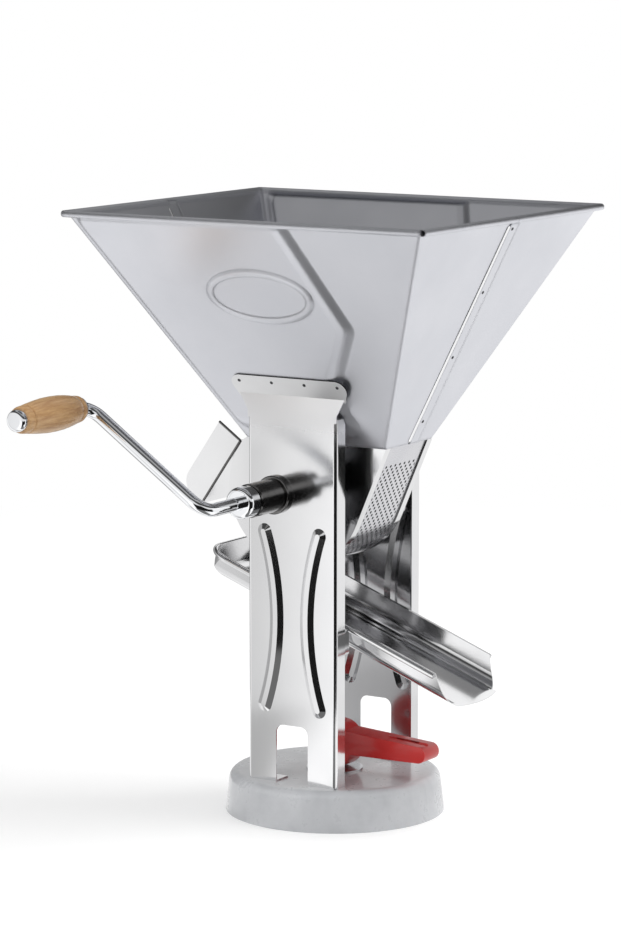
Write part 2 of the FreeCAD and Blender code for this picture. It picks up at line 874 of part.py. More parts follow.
# Juice tray
def in_tray_frame(shape):
    """Set a shape on the tray's slope, drawn with the rim in its XY plane and the spout towards +X."""
    down = direction(-tray_slope)
    return placed(shape, Vector(0, 0, tray_rim_height), down, Vector(0, 1, 0), down.cross(Vector(0, 1, 0)))


def tray_along(x):
    """Distance along the tray's slope for a place given along X."""
    return x / math.cos(math.radians(tray_slope))


def tray_section(thickness, x):
    """Outline of the tray's cross-section, moved inwards by a thickness, at a distance along the tray."""
    half = tray_half_width - thickness
    floor = half - tray_wall_lean
    low = thickness - tray_depth
    corner = tray_round - thickness
    points = [Vector(x, -half, 0), Vector(x, -floor, low), Vector(x, floor, low), Vector(x, half, 0)]
    return rounded(points, [0, corner, corner, 0])


def tray_plan(thickness, right):
    """Upright prism with the tray's plan: round corners at the closed end, square at the spout."""
    half = tray_half_width - thickness
    left = -tray_along(tray_left) + thickness
    low = -2 * tray_depth
    points = [
        Vector(left, -half, low), Vector(right, -half, low),
        Vector(right, half, low), Vector(left, half, low)]
    corner = tray_corner - thickness
    return Part.Face(rounded(points, [corner, 0, 0, corner])).extrude(Vector(0, 0, -low))


def tray_profile(thickness, right):
    """Prism across the tray with its side view: a leaning end wall with a round foot, then the floor."""
    half = 2 * tray_half_width
    left = -tray_along(tray_left) + thickness
    low = thickness - tray_depth
    points = [
        Vector(left, -half, 0), Vector(left + tray_end_lean, -half, low),
        Vector(right, -half, low), Vector(right, -half, 0)]
    side = rounded(points, [0, tray_end_round - thickness, 0, 0])
    return Part.Face(side).extrude(Vector(0, 2 * half, 0))


def tongue_reach(tip):
    """Space that the tray may fill, ended by the bowed edge of the spout's tongue."""
    radius = (tray_half_width ** 2 + tongue_bow ** 2) / (2 * tongue_bow)
    middle = tip + tongue_bow - radius
    low = -2 * tray_depth
    wide = 2 * tray_half_width
    bow = rod_z(radius, low, tray_depth, middle, 0)
    return bow.fuse(box(-2 * tray_along(tray_left), middle, -wide, wide, low, tray_depth))


def tray_rim(right):
    """Rolled bead round the rim, from one side of the spout round the closed end to the other."""
    half = tray_half_width + tray_bead_radius - tray_sheet
    left = -tray_along(tray_left) - tray_bead_radius + tray_sheet
    corner = tray_corner + tray_bead_radius
    turn = corner * (1 - math.sqrt(0.5))
    level = -tray_bead_radius
    path = Part.Wire([
        Part.makeLine(Vector(right, -half, level), Vector(left + corner, -half, level)),
        Part.Arc(Vector(left + corner, -half, level), Vector(left + turn, -half + turn, level),
                 Vector(left, -half + corner, level)).toShape(),
        Part.makeLine(Vector(left, -half + corner, level), Vector(left, half - corner, level)),
        Part.Arc(Vector(left, half - corner, level), Vector(left + turn, half - turn, level),
                 Vector(left + corner, half, level)).toShape(),
        Part.makeLine(Vector(left + corner, half, level), Vector(right, half, level))])
    section = Part.Wire(Part.makeCircle(tray_bead_radius, Vector(right, -half, level), Vector(1, 0, 0)))
    return path.makePipeShell([section], True, False)


def clip_places():
    """Middle of each clip along X, on the inner face of a leg flange."""
    reach = leg_width / 2 - leg_sheet - clip_sheet / 2
    return -reach, reach


def juice_tray():
    """Sloping tray with a rolled rim, closed at the chute side and open at the spout."""
    right = tray_along(tray_right)
    left = -tray_along(tray_left)
    tip = right + tray_lip
    beyond = tip + tray_lip
    run = Vector(beyond - left, 0, 0)

    def pan(thickness, end):
        block = Part.Face(tray_section(thickness, left)).extrude(run)
        return block.common(tray_plan(thickness, end)).common(tray_profile(thickness, end))

    inner = pan(tray_sheet, beyond)
    wide = 2 * tray_half_width
    rim_end = right - tray_lip / 2
    lip_level = tray_sheet - tray_depth
    dip = Vector(right + tray_lip / 4, -wide, 0.6 * lip_level)
    spout_side = Part.Wire([
        Part.Arc(Vector(rim_end, -wide, 0), dip, Vector(tip, -wide, lip_level)).toShape(),
        *Part.makePolygon([
            Vector(tip, -wide, lip_level), Vector(beyond, -wide, lip_level), Vector(beyond, -wide, overcut),
            Vector(rim_end, -wide, overcut), Vector(rim_end, -wide, 0)]).Edges])
    spout = Part.Face(spout_side).extrude(Vector(0, 2 * wide, 0))
    tray = pan(0, tip + tongue_bow).cut(inner).fuse(tray_rim(rim_end)).cut(spout).common(tongue_reach(tip))
    clip_lean = clip_height * math.tan(math.radians(tray_slope))
    stop_face = tray_along(clip_places()[0] - clip_sheet / 2) - clip_gap - clip_lean
    low = -2 * tray_bead_radius - stop_height
    edge = -tray_half_width - tray_bead_radius
    wall = -tray_half_width + tray_wall_lean
    lug = box(stop_face - stop_length, stop_face, edge, wall, low, -tray_bead_radius).cut(inner)
    return in_tray_frame(tray.fuse([lug, mirrored(lug)]).removeSplitter())


def tray_clips():
    """Four sheet clips on the leg flanges, whose sloping tops carry the tray's bead."""
    inner_edge = tray_half_width + clip_gap
    outer_edge = leg_face - leg_bend
    under = -2 * tray_bead_radius - clip_gap
    reach = tray_along(leg_width)
    slab = in_tray_frame(box(-reach, reach, 0, mouth_depth, under - clip_height, under))
    clips = []
    for x in clip_places():
        upright = box(x - clip_sheet / 2, x + clip_sheet / 2, inner_edge, outer_edge, 0, rim_height)
        clip = upright.common(slab)
        clips += [clip, mirrored(clip)]
    return Part.Compound(clips)


# Base with suction cup
def rivet_places():
    x = (cutout_half + leg_width / 2) / 2
    y = leg_face - rivet_inset
    return [(-x, -y), (x, -y), (-x, y), (x, y)]


def turned(wire):
    return Part.Face(wire).revolve(Vector(0, 0, 0), Vector(0, 0, 1), 360)


def base_shell():
    """Round pressed base that the legs stand on, hollow underneath."""
    def bell(inset):
        level = base_height - inset
        points = [
            Vector(0, 0, 0), Vector(base_radius - inset, 0, 0), Vector(base_top_radius - inset, 0, level),
            Vector(0, 0, level)]
        return turned(rounded(points, [0, 0, base_round - inset, 0]))

    shell = bell(0).cut(bell(base_sheet))
    over = base_height + overcut
    holes = [rod_z(rivet_radius + run_gap, 0, over, x, y) for x, y in rivet_places()]
    return shell.cut(holes + [rod_z(stem_radius + run_gap, 0, over)])


def suction_cup():
    """Rubber cup under the base, with a hub that holds the stem's head."""
    top = base_height - base_sheet
    pocket_low = stem_head_level - stem_travel - cam_gap
    pocket_radius = stem_head_radius + cam_gap
    hub_radius = pocket_radius + cup_hub_wall
    dome = [
        Vector(0, 0, cup_dome), Vector(0, 0, cup_dome - cup_wall), Vector(cup_radius - cup_edge_width, 0, 0),
        Vector(cup_radius, 0, 0), Vector(cup_radius, 0, cup_wall), Vector(hub_radius, 0, cup_dome)]
    cup = turned(polygon(dome)).fuse(rod_z(hub_radius, pocket_low - cup_floor, top))
    pocket = rod_z(pocket_radius, pocket_low, stem_head_level + stem_head_height + cam_gap)
    return cup.cut([pocket, rod_z(stem_radius + cam_gap, pocket_low, top + overcut)]).removeSplitter()


def cam_throw():
    """Sideways and downward offset of the cam's centre from the lever pin while the cup is drawn up."""
    return stem_travel / 2


def lever_pin_level():
    return base_height + cam_washer_height + cam_gap + cam_radius + cam_throw()


def suction_stem():
    """Stem that lifts the cup: head in the rubber hub, eye for the lever pin at the top."""
    level = lever_pin_level()
    stem = rod_z(stem_radius, stem_head_level, level)
    head = rod_z(stem_head_radius, stem_head_level, stem_head_level + stem_head_height)
    eye = rod_y(eye_radius, -eye_width / 2, eye_width / 2, Vector(0, 0, level))
    hole = rod_y(lever_pin_radius + run_gap, -eye_width, eye_width, Vector(0, 0, level))
    return stem.fuse([head, eye]).cut(hole).removeSplitter()


def cam_washer():
    top = base_height + cam_washer_height
    hole = rod_z(stem_radius + run_gap, base_height - overcut, top + overcut)
    return rod_z(cam_washer_radius, base_height, top).cut(hole)


def suction_lever():
    """Cam lever: round eccentric hub forked over the stem's eye, and an arm towards the spout side."""
    level = lever_pin_level()
    centre = Vector(cam_throw(), 0, level - cam_throw())
    half = lever_width / 2
    hub = rod_y(cam_radius, -half, half, centre)
    tip = Vector(lever_length, 0, level)
    arm_points = [
        Vector(centre.x, -half, centre.z + lever_root_above),
        Vector(centre.x, -half, centre.z - lever_root_below),
        Vector(tip.x, -half, tip.z - lever_tip_radius),
        Vector(tip.x, -half, tip.z + lever_tip_radius)]
    arm = Part.Face(polygon(arm_points)).extrude(Vector(0, lever_width, 0))
    end = rod_y(lever_tip_radius, -half, half, tip)
    slot_half = eye_width / 2 + cam_gap
    reach = 2 * cam_radius
    slot = box(-reach, eye_radius + eye_gap, -slot_half, slot_half, level - reach, level + reach)
    pin_hole = rod_y(lever_pin_radius + run_gap, -lever_width, lever_width, Vector(0, 0, level))
    return hub.fuse([arm, end]).cut([slot, pin_hole]).removeSplitter()


def lever_pin():
    return rod_y(lever_pin_radius, -lever_width / 2, lever_width / 2, Vector(0, 0, lever_pin_level()))


def base_rivets():
    """Rivets through the leg feet and the base's top."""
    under = base_height - base_sheet
    over = base_height + leg_sheet
    rivets = []
    for x, y in rivet_places():
        shank = rod_z(rivet_radius, under - rivet_head_height, over + rivet_head_height, x, y)
        upper = rod_z(rivet_head_radius, over, over + rivet_head_height, x, y)
        rim = [e for e in upper.Edges if e.BoundBox.ZMin > over + rivet_head_height - run_gap]
        upper = upper.makeFillet(rivet_round, rim)
        lower = rod_z(rivet_head_radius, under - rivet_head_height, under, x, y)
        rivets.append(shank.fuse([upper, lower]).removeSplitter())
    return Part.Compound(rivets)


def build():
    hopper_front, hopper_rear = hopper_halves()
    end_plate = front_end_plate()
    leg = front_leg()
    collar = front_collar()
    return {
        "hopper_front": hopper_front,
        "hopper_rear": hopper_rear,
        "front_leg": leg,
        "rear_leg": mirrored(leg),
        "front_end_plate": end_plate,
        "rear_end_plate": mirrored(end_plate),
        "strainer_screen": strainer_screen(),
        "trough_sheet": trough_back(),
        "skin_chute": skin_chute(),
        "front_bushing": front_bushing(),
        "rear_bushing": rear_bushing(),
        "front_collar": collar,
        "rear_collar": mirrored(collar),
        "rotor_shaft": rotor_shaft(),
        "rotor_drum": rotor_drum(),
        "wiper_blades": wiper_blades(),
        "rotor_pin": rotor_pin(),
        "rear_washer": rear_washer(),
        "retaining_ring": retaining_ring(),
        "thrust_washer": thrust_washer(),
        "crank_coupling": crank_coupling(),
        "coupling_screw": coupling_screw(),
        "crank_rod": crank_rod(),
        "grip_washer": grip_washer(),
        "crank_grip": crank_grip(),
        "grip_cap": grip_cap(),
        "juice_tray": juice_tray(),
        "tray_clips": tray_clips(),
        "base_shell": base_shell(),
        "suction_cup": suction_cup(),
        "suction_stem": suction_stem(),
        "cam_washer": cam_washer(),
        "suction_lever": suction_lever(),
        "lever_pin": lever_pin(),
        "base_rivets": base_rivets(),
    }


def main():
    os.makedirs("parts", exist_ok=True)
    for name, shape in build().items():
        solids = shape.Solids
        print(name, len(solids), "valid" if shape.isValid() else "INVALID", round(shape.Volume))
        result = solids[0] if len(solids) == 1 else Part.Compound(solids)
        result.exportStep(f"parts/{name}.step")


main()
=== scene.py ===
"""Looks of the hand-cranked tomato press: metal finishes, turned and moulded details, and a white studio."""
import logging
import math
from dataclasses import dataclass, field
from enum import Enum
from typing import Any, ClassVar, Iterable, Optional, Sequence, Union

import bpy
from mathutils import Matrix, Vector


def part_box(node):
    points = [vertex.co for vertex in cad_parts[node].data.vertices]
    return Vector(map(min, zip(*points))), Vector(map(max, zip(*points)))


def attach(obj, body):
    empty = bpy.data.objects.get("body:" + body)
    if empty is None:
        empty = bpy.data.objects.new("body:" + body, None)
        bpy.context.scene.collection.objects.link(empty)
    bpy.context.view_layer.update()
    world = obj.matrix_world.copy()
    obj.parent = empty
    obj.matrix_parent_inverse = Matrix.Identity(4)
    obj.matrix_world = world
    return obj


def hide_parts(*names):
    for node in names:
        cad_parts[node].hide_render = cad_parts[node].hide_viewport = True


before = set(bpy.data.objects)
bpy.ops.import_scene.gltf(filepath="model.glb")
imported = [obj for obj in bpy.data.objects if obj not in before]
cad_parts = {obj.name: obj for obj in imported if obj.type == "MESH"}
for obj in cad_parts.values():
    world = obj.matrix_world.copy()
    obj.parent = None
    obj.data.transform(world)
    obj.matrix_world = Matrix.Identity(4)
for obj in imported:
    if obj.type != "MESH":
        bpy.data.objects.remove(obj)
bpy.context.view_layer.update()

LOG = logging.getLogger("tomato_press")
MM = 0.001
ORIGIN = Vector((0.0, 0.0, 0.0))
UP = Vector((0.0, 0.0, 1.0))
Colour = tuple[float, float, float]
Levels = tuple[tuple[float, float], ...]
Value = Union[float, "Sock"]
WHITE: Colour = (1.0, 1.0, 1.0)


class Body(Enum):
    """Rigid bodies of the press that carry pieces modelled here."""

    FRAME = "frame"
    GRIP = "grip"
    LEVER = "lever"


class Axis(Enum):
    """Directions that a pattern or a turned piece can follow."""

    X = 0
    Y = 1
    Z = 2


class Sock:
    """A shader value on which Python's operators add Math nodes."""

    def __init__(self, graph: "Graph", socket: bpy.types.NodeSocket) -> None:
        """Wrap a node's output.

        Args:
            graph: material graph that owns the socket.
            socket: output socket that carries the value.
        """
        self.graph = graph
        self.socket = socket

    def _math(self, operation: str, first: Value, second: Value) -> "Sock":
        """Join two values by a Math node.

        Args:
            operation: Math node operation.
            first: left value.
            second: right value.

        Returns:
            The node's result.
        """
        return self.graph.add("ShaderNodeMath", {"operation": operation}, {0: first, 1: second})

    def __add__(self, other: Value) -> "Sock":
        """Sum of two values."""
        return self._math("ADD", self, other)

    def __radd__(self, other: Value) -> "Sock":
        """Sum with a number on the left."""
        return self._math("ADD", other, self)

    def __sub__(self, other: Value) -> "Sock":
        """Difference of two values."""
        return self._math("SUBTRACT", self, other)

    def __rsub__(self, other: Value) -> "Sock":
        """Difference from a number on the left."""
        return self._math("SUBTRACT", other, self)

    def __mul__(self, other: Value) -> "Sock":
        """Product of two values."""
        return self._math("MULTIPLY", self, other)

    def __rmul__(self, other: Value) -> "Sock":
        """Product with a number on the left."""
        return self._math("MULTIPLY", other, self)

    def at_least(self, other: Value) -> "Sock":
        """Larger of two values."""
        return self._math("MAXIMUM", self, other)

    def below(self, other: Value) -> "Sock":
        """1 where the value is smaller than another, else 0."""
        return self._math("LESS_THAN", self, other)

    def angle(self, other: Value) -> "Sock":
        """Angle whose sine and cosine have the ratio of two values."""
        return self._math("ARCTAN2", self, other)

    def nearest(self) -> "Sock":
        """Nearest whole number."""
        return self._math("ROUND", self, 0.0)

    def even_odd(self) -> "Sock":
        """0 for an even whole number, 1 for an odd one."""
        return self._math("FLOORED_MODULO", self, 2.0)


class Graph:
    """Node graph of one material or of the world."""

    def __init__(self, owner: Union[bpy.types.Material, bpy.types.World]) -> None:
        """Start with no nodes.

        Args:
            owner: new material or world that the nodes belong to.
        """
        self.owner = owner
        owner.use_nodes = True
        self.tree = owner.node_tree
        self.tree.nodes.clear()

    def add(self, kind: str, settings: Optional[dict[str, Any]] = None,
            inputs: Optional[dict[Union[int, str], Any]] = None,
            output: Union[int, str, None] = 0) -> Optional[Sock]:
        """Add a node, set it and feed its sockets.

        Args:
            kind: type of the node.
            settings: properties set first; stops are a colour ramp's positions and colours.
            inputs: values or links by socket name or number.
            output: socket to return, or None for a node with no outputs.

        Returns:
            One output of the node.
        """
        node = self.tree.nodes.new(kind)
        for key, value in (settings or {}).items():
            if key == "stops":
                self._set_stops(node.color_ramp, value)
            else:
                setattr(node, key, value)
        for key, value in (inputs or {}).items():
            if isinstance(value, Sock):
                self.tree.links.new(value.socket, node.inputs[key])
            else:
                node.inputs[key].default_value = value
        return None if output is None else Sock(self, node.outputs[output])

    @staticmethod
    def _set_stops(ramp: bpy.types.ColorRamp, stops: Sequence[tuple[float, Colour]]) -> None:
        """Give a ramp its stops.

        Args:
            ramp: ramp to set.
            stops: positions with their colours.
        """
        while len(ramp.elements) < len(stops):
            ramp.elements.new(1.0)
        for element, (place, colour) in zip(ramp.elements, stops):
            element.position = place
            element.color = (*colour, 1.0)

    def place(self, scale: Sequence[float] = (1, 1, 1), shift: Sequence[float] = (0, 0, 0)) -> Sock:
        """Place on the object, in metres, stretched and moved.

        Args:
            scale: stretch of the pattern along each axis.
            shift: move of the pattern.

        Returns:
            Mapped coordinates.
        """
        own = self.add("ShaderNodeTexCoord", output="Object")
        return self.add("ShaderNodeMapping", inputs={"Vector": own, "Scale": scale, "Location": shift})

    def along(self, vector: Sock, way: Union[Sock, Sequence[float]]) -> Sock:
        """Share of a vector along a direction.

        Args:
            vector: vector to measure.
            way: unit vector of the direction.

        Returns:
            The dot product.
        """
        return self.add(
            "ShaderNodeVectorMath", {"operation": "DOT_PRODUCT"}, {0: vector, 1: way}, output="Value")

    def noise(self, size: float, detail: float, rough: float, vector: Optional[Sock] = None) -> Sock:
        """Soft noise whose features have a real size.

        Args:
            size: width of a feature in metres.
            detail: octaves.
            rough: weight of the small octaves.
            vector: coordinates, or the object's own.

        Returns:
            Noise from 0 to 1.
        """
        return self.add("ShaderNodeTexNoise", inputs={
            "Vector": vector or self.place(), "Scale": 1 / size, "Detail": detail, "Roughness": rough})

    def spread(self, value: Sock, low: float, high: float, start: float = 0.3, stop: float = 0.7) -> Sock:
        """Map a value's middle range to new limits, clamped.

        Args:
            value: value to map.
            low: result at start.
            high: result at stop.
            start: value that gives low.
            stop: value that gives high.

        Returns:
            The mapped value.
        """
        return self.add("ShaderNodeMapRange", {"clamp": True}, {
            "Value": value, "From Min": start, "From Max": stop, "To Min": low, "To Max": high})

    def blend(self, factor: Value, first: Union[Colour, Sock], second: Union[Colour, Sock]) -> Sock:
        """Mix two colours.

        Args:
            factor: share of the second.
            first: colour at 0.
            second: colour at 1.

        Returns:
            The mixed colour.
        """
        def full(colour: Union[Colour, Sock]) -> Any:
            """Colour with its alpha, or a link as it is."""
            return colour if isinstance(colour, Sock) else (*colour, 1.0)

        return self.add("ShaderNodeMix", {"data_type": "RGBA"}, {
            0: factor, 6: full(first), 7: full(second)}, output=2)

    def bump(self, height: Sock, depth: float, under: Optional[Sock] = None) -> Sock:
        """Bumped normal.

        Args:
            height: height from 0 to 1.
            depth: height of 1 in metres.
            under: normal to start from.

        Returns:
            The normal.
        """
        inputs: dict[Union[int, str], Any] = {"Height": height, "Distance": depth, "Strength": 1.0}
        if under is not None:
            inputs["Normal"] = under
        return self.add("ShaderNodeBump", inputs=inputs)

    def end_in(self, shader: Sock) -> Any:
        """Join a shader to the output.

        Args:
            shader: last shader of the graph.

        Returns:
            The finished material or world.
        """
        kind = "World" if isinstance(self.owner, bpy.types.World) else "Material"
        self.add(f"ShaderNodeOutput{kind}", inputs={"Surface": shader}, output=None)
        return self.owner

    def close(self, **inputs: Any) -> bpy.types.Material:
        """End the graph in a Principled shader.

        Args:
            inputs: sockets by name, with spaces written as underscores.

        Returns:
            The finished material.
        """
        named = {key.replace("_", " "): value for key, value in inputs.items()}
        return self.end_in(self.add("ShaderNodeBsdfPrincipled", inputs=named))


@dataclass(frozen=True)
class Finish:
    """A surface finish, made into a material once."""

    name: str
    made: ClassVar[dict[str, bpy.types.Material]] = {}

    def material(self) -> bpy.types.Material:
        """Material of this finish, the same one each time."""
        if self.name not in Finish.made:
            Finish.made[self.name] = self.paint(Graph(bpy.data.materials.new(self.name)))
        return Finish.made[self.name]

    def paint(self, graph: Graph) -> bpy.types.Material:
        """Draw the finish's nodes; each finish has its own."""
        raise NotImplementedError(self.name)

    def put_on(self, piece: bpy.types.Object) -> None:
        """Give a piece this finish alone.

        Args:
            piece: object to dress.
        """
        piece.data.materials.clear()
        piece.data.materials.append(self.material())


@dataclass(frozen=True)
class SheetMetal(Finish):
    """Bright rolled sheet: metal with clouds, smudges and rolling lines."""

    tint: Colour = (0.8, 0.8, 0.82)
    cloud_tint: Colour = (0.74, 0.74, 0.77)
    cloud_size: float = 0.06
    smooth: float = 0.1
    rough: float = 0.2
    grain: Axis = Axis.Z
    grain_size: float = 0.0006
    grain_length: float = 60.0
    wave_size: float = 0.05
    wave_depth: float = 0.00004
    grain_depth: float = 0.000004
    streak_share: float = 0.4
    fold_radius: float = 0.0
    fold_samples: int = 6

    def paint(self, graph: Graph) -> bpy.types.Material:
        """Draw clouds in the colour, streaks in the roughness, a faint wave in the surface and soft folds.

        Args:
            graph: empty graph.

        Returns:
            The material.
        """
        along = [1.0, 1.0, 1.0]
        along[self.grain.value] = 1 / self.grain_length
        clouds = graph.noise(self.cloud_size, detail=4.0, rough=0.55)
        streaks = graph.noise(self.grain_size, detail=2.0, rough=0.6, vector=graph.place(along))
        waves = graph.noise(self.wave_size, detail=1.0, rough=0.3)
        marks = clouds * (1 - self.streak_share) + streaks * self.streak_share
        gloss = graph.spread(marks, self.smooth, self.rough)
        folds = None
        if self.fold_radius:
            folds = graph.add("ShaderNodeBevel", {"samples": self.fold_samples}, {"Radius": self.fold_radius})
        rolled = graph.bump(streaks, self.grain_depth, under=folds)
        colour = graph.blend(graph.spread(clouds, 0.0, 1.0), self.tint, self.cloud_tint)
        return graph.close(
            Base_Color=self.marked(graph, colour), Metallic=1.0, Roughness=self.rubbed(graph, gloss),
            Normal=graph.bump(waves, self.wave_depth, under=rolled))

    def marked(self, graph: Graph, colour: Sock) -> Sock:
        """Colour of the sheet with its marks; plain sheet has none."""
        return colour

    def rubbed(self, graph: Graph, gloss: Sock) -> Sock:
        """Roughness of the sheet with its rubbed places; plain sheet has none."""
        return gloss


@dataclass(frozen=True)
class LegSheet(SheetMetal):
    """Stamped leg sheet: bright outside, its inside faces darkened as painted shade, rubbed matt near its
    tab, with a painted shadow line along the tab's upper edge.
    """

    tint: Colour = (0.81, 0.81, 0.815)
    cloud_tint: Colour = (0.77, 0.77, 0.78)
    inside: float = 1.0
    inside_lean: tuple[float, float] = (0.3, 0.5)
    # colour of the painted shade on the faces that look inside
    inside_shade_tint: Colour = (0.42, 0.42, 0.43)
    # colour of the painted shadow line on the tab's upper edge faces
    tab_edge_shadow_tint: Colour = (0.03, 0.03, 0.032)
    tab_slope: tuple[float, float] = (-0.866, -0.5)
    tab_foot: float = 0.359
    tab_edge_lean: float = 0.3
    matt: float = 0.22
    matt_rise: tuple[float, float] = (0.312, 0.342)

    def marked(self, graph: Graph, colour: Sock) -> Sock:
        """Darken the faces that look inside as painted shade, and paint a shadow line on the edge faces of
        the tab.

        Args:
            graph: graph of the material.
            colour: colour of the bright faces.

        Returns:
            The colour of all faces.
        """
        facing = graph.add("ShaderNodeTexCoord", output="Normal")
        # painted shade: the faces that look into the press are darkened, though the sheet is the same on both
        # sides
        inside_shade = graph.spread(graph.along(facing, (0.0, self.inside, 0.0)), 0.0, 1.0, *self.inside_lean)
        lean = graph.along(facing, (0.0, self.inside * self.tab_slope[0], self.tab_slope[1]))
        on_tab = graph.spread(self.height(graph), 0.0, 1.0, self.tab_foot, self.tab_foot + MM)
        # painted shadow: the tab's edge faces, where it sits on the hopper, are painted near black
        tab_edge_shadow = (lean * lean).below(self.tab_edge_lean) * on_tab
        return graph.blend(tab_edge_shadow, graph.blend(inside_shade, colour, self.inside_shade_tint), self.tab_edge_shadow_tint)

    def rubbed(self, graph: Graph, gloss: Sock) -> Sock:
        """Roughen the sheet towards its tab."""
        return gloss + graph.spread(self.height(graph), 0.0, self.matt, *self.matt_rise)

    @staticmethod
    def height(graph: Graph) -> Sock:
        """Height on the part in metres."""
        return graph.along(graph.place(), (0.0, 0.0, 1.0))


@dataclass(frozen=True)
class PerforatedMetal(SheetMetal):
    """Sheet round a trough whose punched holes get painted shade: a dark ring round each hole and dark hole
    walls.
    """

    axis_place: tuple[float, float, float] = (-0.0163, 0.0, 0.2764)
    flat_normal: tuple[float, float, float] = (0.918, 0.0, -0.396)
    flat_rise: tuple[float, float, float] = (0.396, 0.0, 0.918)
    radius: float = 0.0634
    flat_length: float = 0.0716
    first_row: float = 0.019
    last_row: float = 0.21
    row_pitch: float = 0.0033
    hole_pitch: float = 0.0074
    stagger: float = 0.5
    holed_half: float = 0.0249
    wall_lean: tuple[float, float] = (0.45, 0.6)
    # size and colour of the painted shade round and in the holes
    hole_shade_radius: float = 0.00132
    hole_shade: Colour = (0.015, 0.015, 0.016)

    def marked(self, graph: Graph, colour: Sock) -> Sock:
        """Paint shade as a dark ring round each hole and on the hole's wall, which faces along the sheet and
        not out of it.

        Args:
            graph: graph of the material.
            colour: colour of the sheet's faces.

        Returns:
            The colour of faces, with the painted shade round and in the holes.
        """
        facing = graph.add("ShaderNodeTexCoord", output="Normal")
        from_axis = graph.place(shift=[-value for value in self.axis_place])
        ways = (self.flat_rise, self.flat_normal, (0.0, 1.0, 0.0))
        rise, out, across = (graph.along(from_axis, way) for way in ways)
        turned = (-1.0 * rise).at_least(0.0).angle(out)
        down = turned * self.radius + self.flat_length - rise.at_least(0.0)
        row = (down - self.first_row) * (1 / self.row_pitch)
        column = across * (1 / self.hole_pitch) + row.nearest().even_odd() * self.stagger
        off_row = (row - row.nearest()) * self.row_pitch
        off_column = (column - column.nearest()) * self.hole_pitch
        # painted shade: a dark ring round each hole
        near = (off_row * off_row + off_column * off_column).below(self.hole_shade_radius ** 2)
        inside = (across * across).below((self.holed_half + self.hole_shade_radius) ** 2)
        rows = (self.first_row - self.row_pitch / 2 - down).below(0.0) * down.below(self.last_row)
        radial = graph.add(
            "ShaderNodeVectorMath", {"operation": "MULTIPLY"}, {0: from_axis, 1: (1.0, 0.0, 1.0)})
        outwards = graph.add("ShaderNodeVectorMath", {"operation": "NORMALIZE"}, {0: radial})
        bend, flat = (graph.along(facing, way) for way in (outwards, self.flat_normal))
        # painted shade on the hole walls
        wall = graph.spread((bend * bend).at_least(flat * flat), 1.0, 0.0, *self.wall_lean)
        return graph.blend((near * inside * rows).at_least(wall), colour, self.hole_shade)


@dataclass(frozen=True)
class TurnedMetal(Finish):
    """Metal turned on a lathe, with fine rings along an axis."""

    tint: Colour = (0.6, 0.6, 0.62)
    stain: Colour = (0.5, 0.5, 0.52)
    smooth: float = 0.12
    rough: float = 0.3
    axis: Axis = Axis.Y
    ring_width: float = 0.0005
    ring_depth: float = 0.000004
    ring_stretch: float = 0.02
    ring_share: float = 0.7
    stain_size: float = 0.012

    def paint(self, graph: Graph) -> bpy.types.Material:
        """Draw rings in the roughness and the surface, and stains in the colour.

        Args:
            graph: empty graph.

        Returns:
            The material.
        """
        along = [self.ring_stretch] * 3
        along[self.axis.value] = 1.0
        rings = graph.noise(self.ring_width, detail=2.0, rough=0.5, vector=graph.place(along))
        stains = graph.noise(self.stain_size, detail=4.0, rough=0.6)
        marks = rings * self.ring_share + stains * (1 - self.ring_share)
        return graph.close(
            Base_Color=graph.blend(graph.spread(stains, 0.0, 1.0), self.tint, self.stain),
            Metallic=1.0, Roughness=graph.spread(marks, self.smooth, self.rough),
            Normal=graph.bump(rings, self.ring_depth))


@dataclass(frozen=True)
class Moulded(Finish):
    """Moulded plastic or rubber with a faint grain and soft marks of use."""

    tint: Colour = (0.5, 0.5, 0.5)
    worn: Colour = (0.55, 0.55, 0.55)
    smooth: float = 0.35
    rough: float = 0.5
    grain_size: float = 0.0007
    grain_depth: float = 0.00002
    mark_size: float = 0.02
    mark_share: float = 0.7
    wear_range: tuple[float, float] = (0.45, 0.75)
    coat: float = 0.0
    coat_roughness: float = 0.08

    def paint(self, graph: Graph) -> bpy.types.Material:
        """Draw grain in the surface and soft marks in the colour and gloss.

        Args:
            graph: empty graph.

        Returns:
            The material.
        """
        grain = graph.noise(self.grain_size, detail=2.0, rough=0.5)
        marks = graph.noise(self.mark_size, detail=5.0, rough=0.6)
        wear = graph.spread(marks, 0.0, 1.0, *self.wear_range)
        dulled = marks * self.mark_share + grain * (1 - self.mark_share)
        return graph.close(
            Base_Color=graph.blend(wear, self.tint, self.worn),
            Roughness=graph.spread(dulled, self.smooth, self.rough),
            Coat_Weight=self.coat, Coat_Roughness=self.coat_roughness,
            Normal=graph.bump(grain, self.grain_depth))


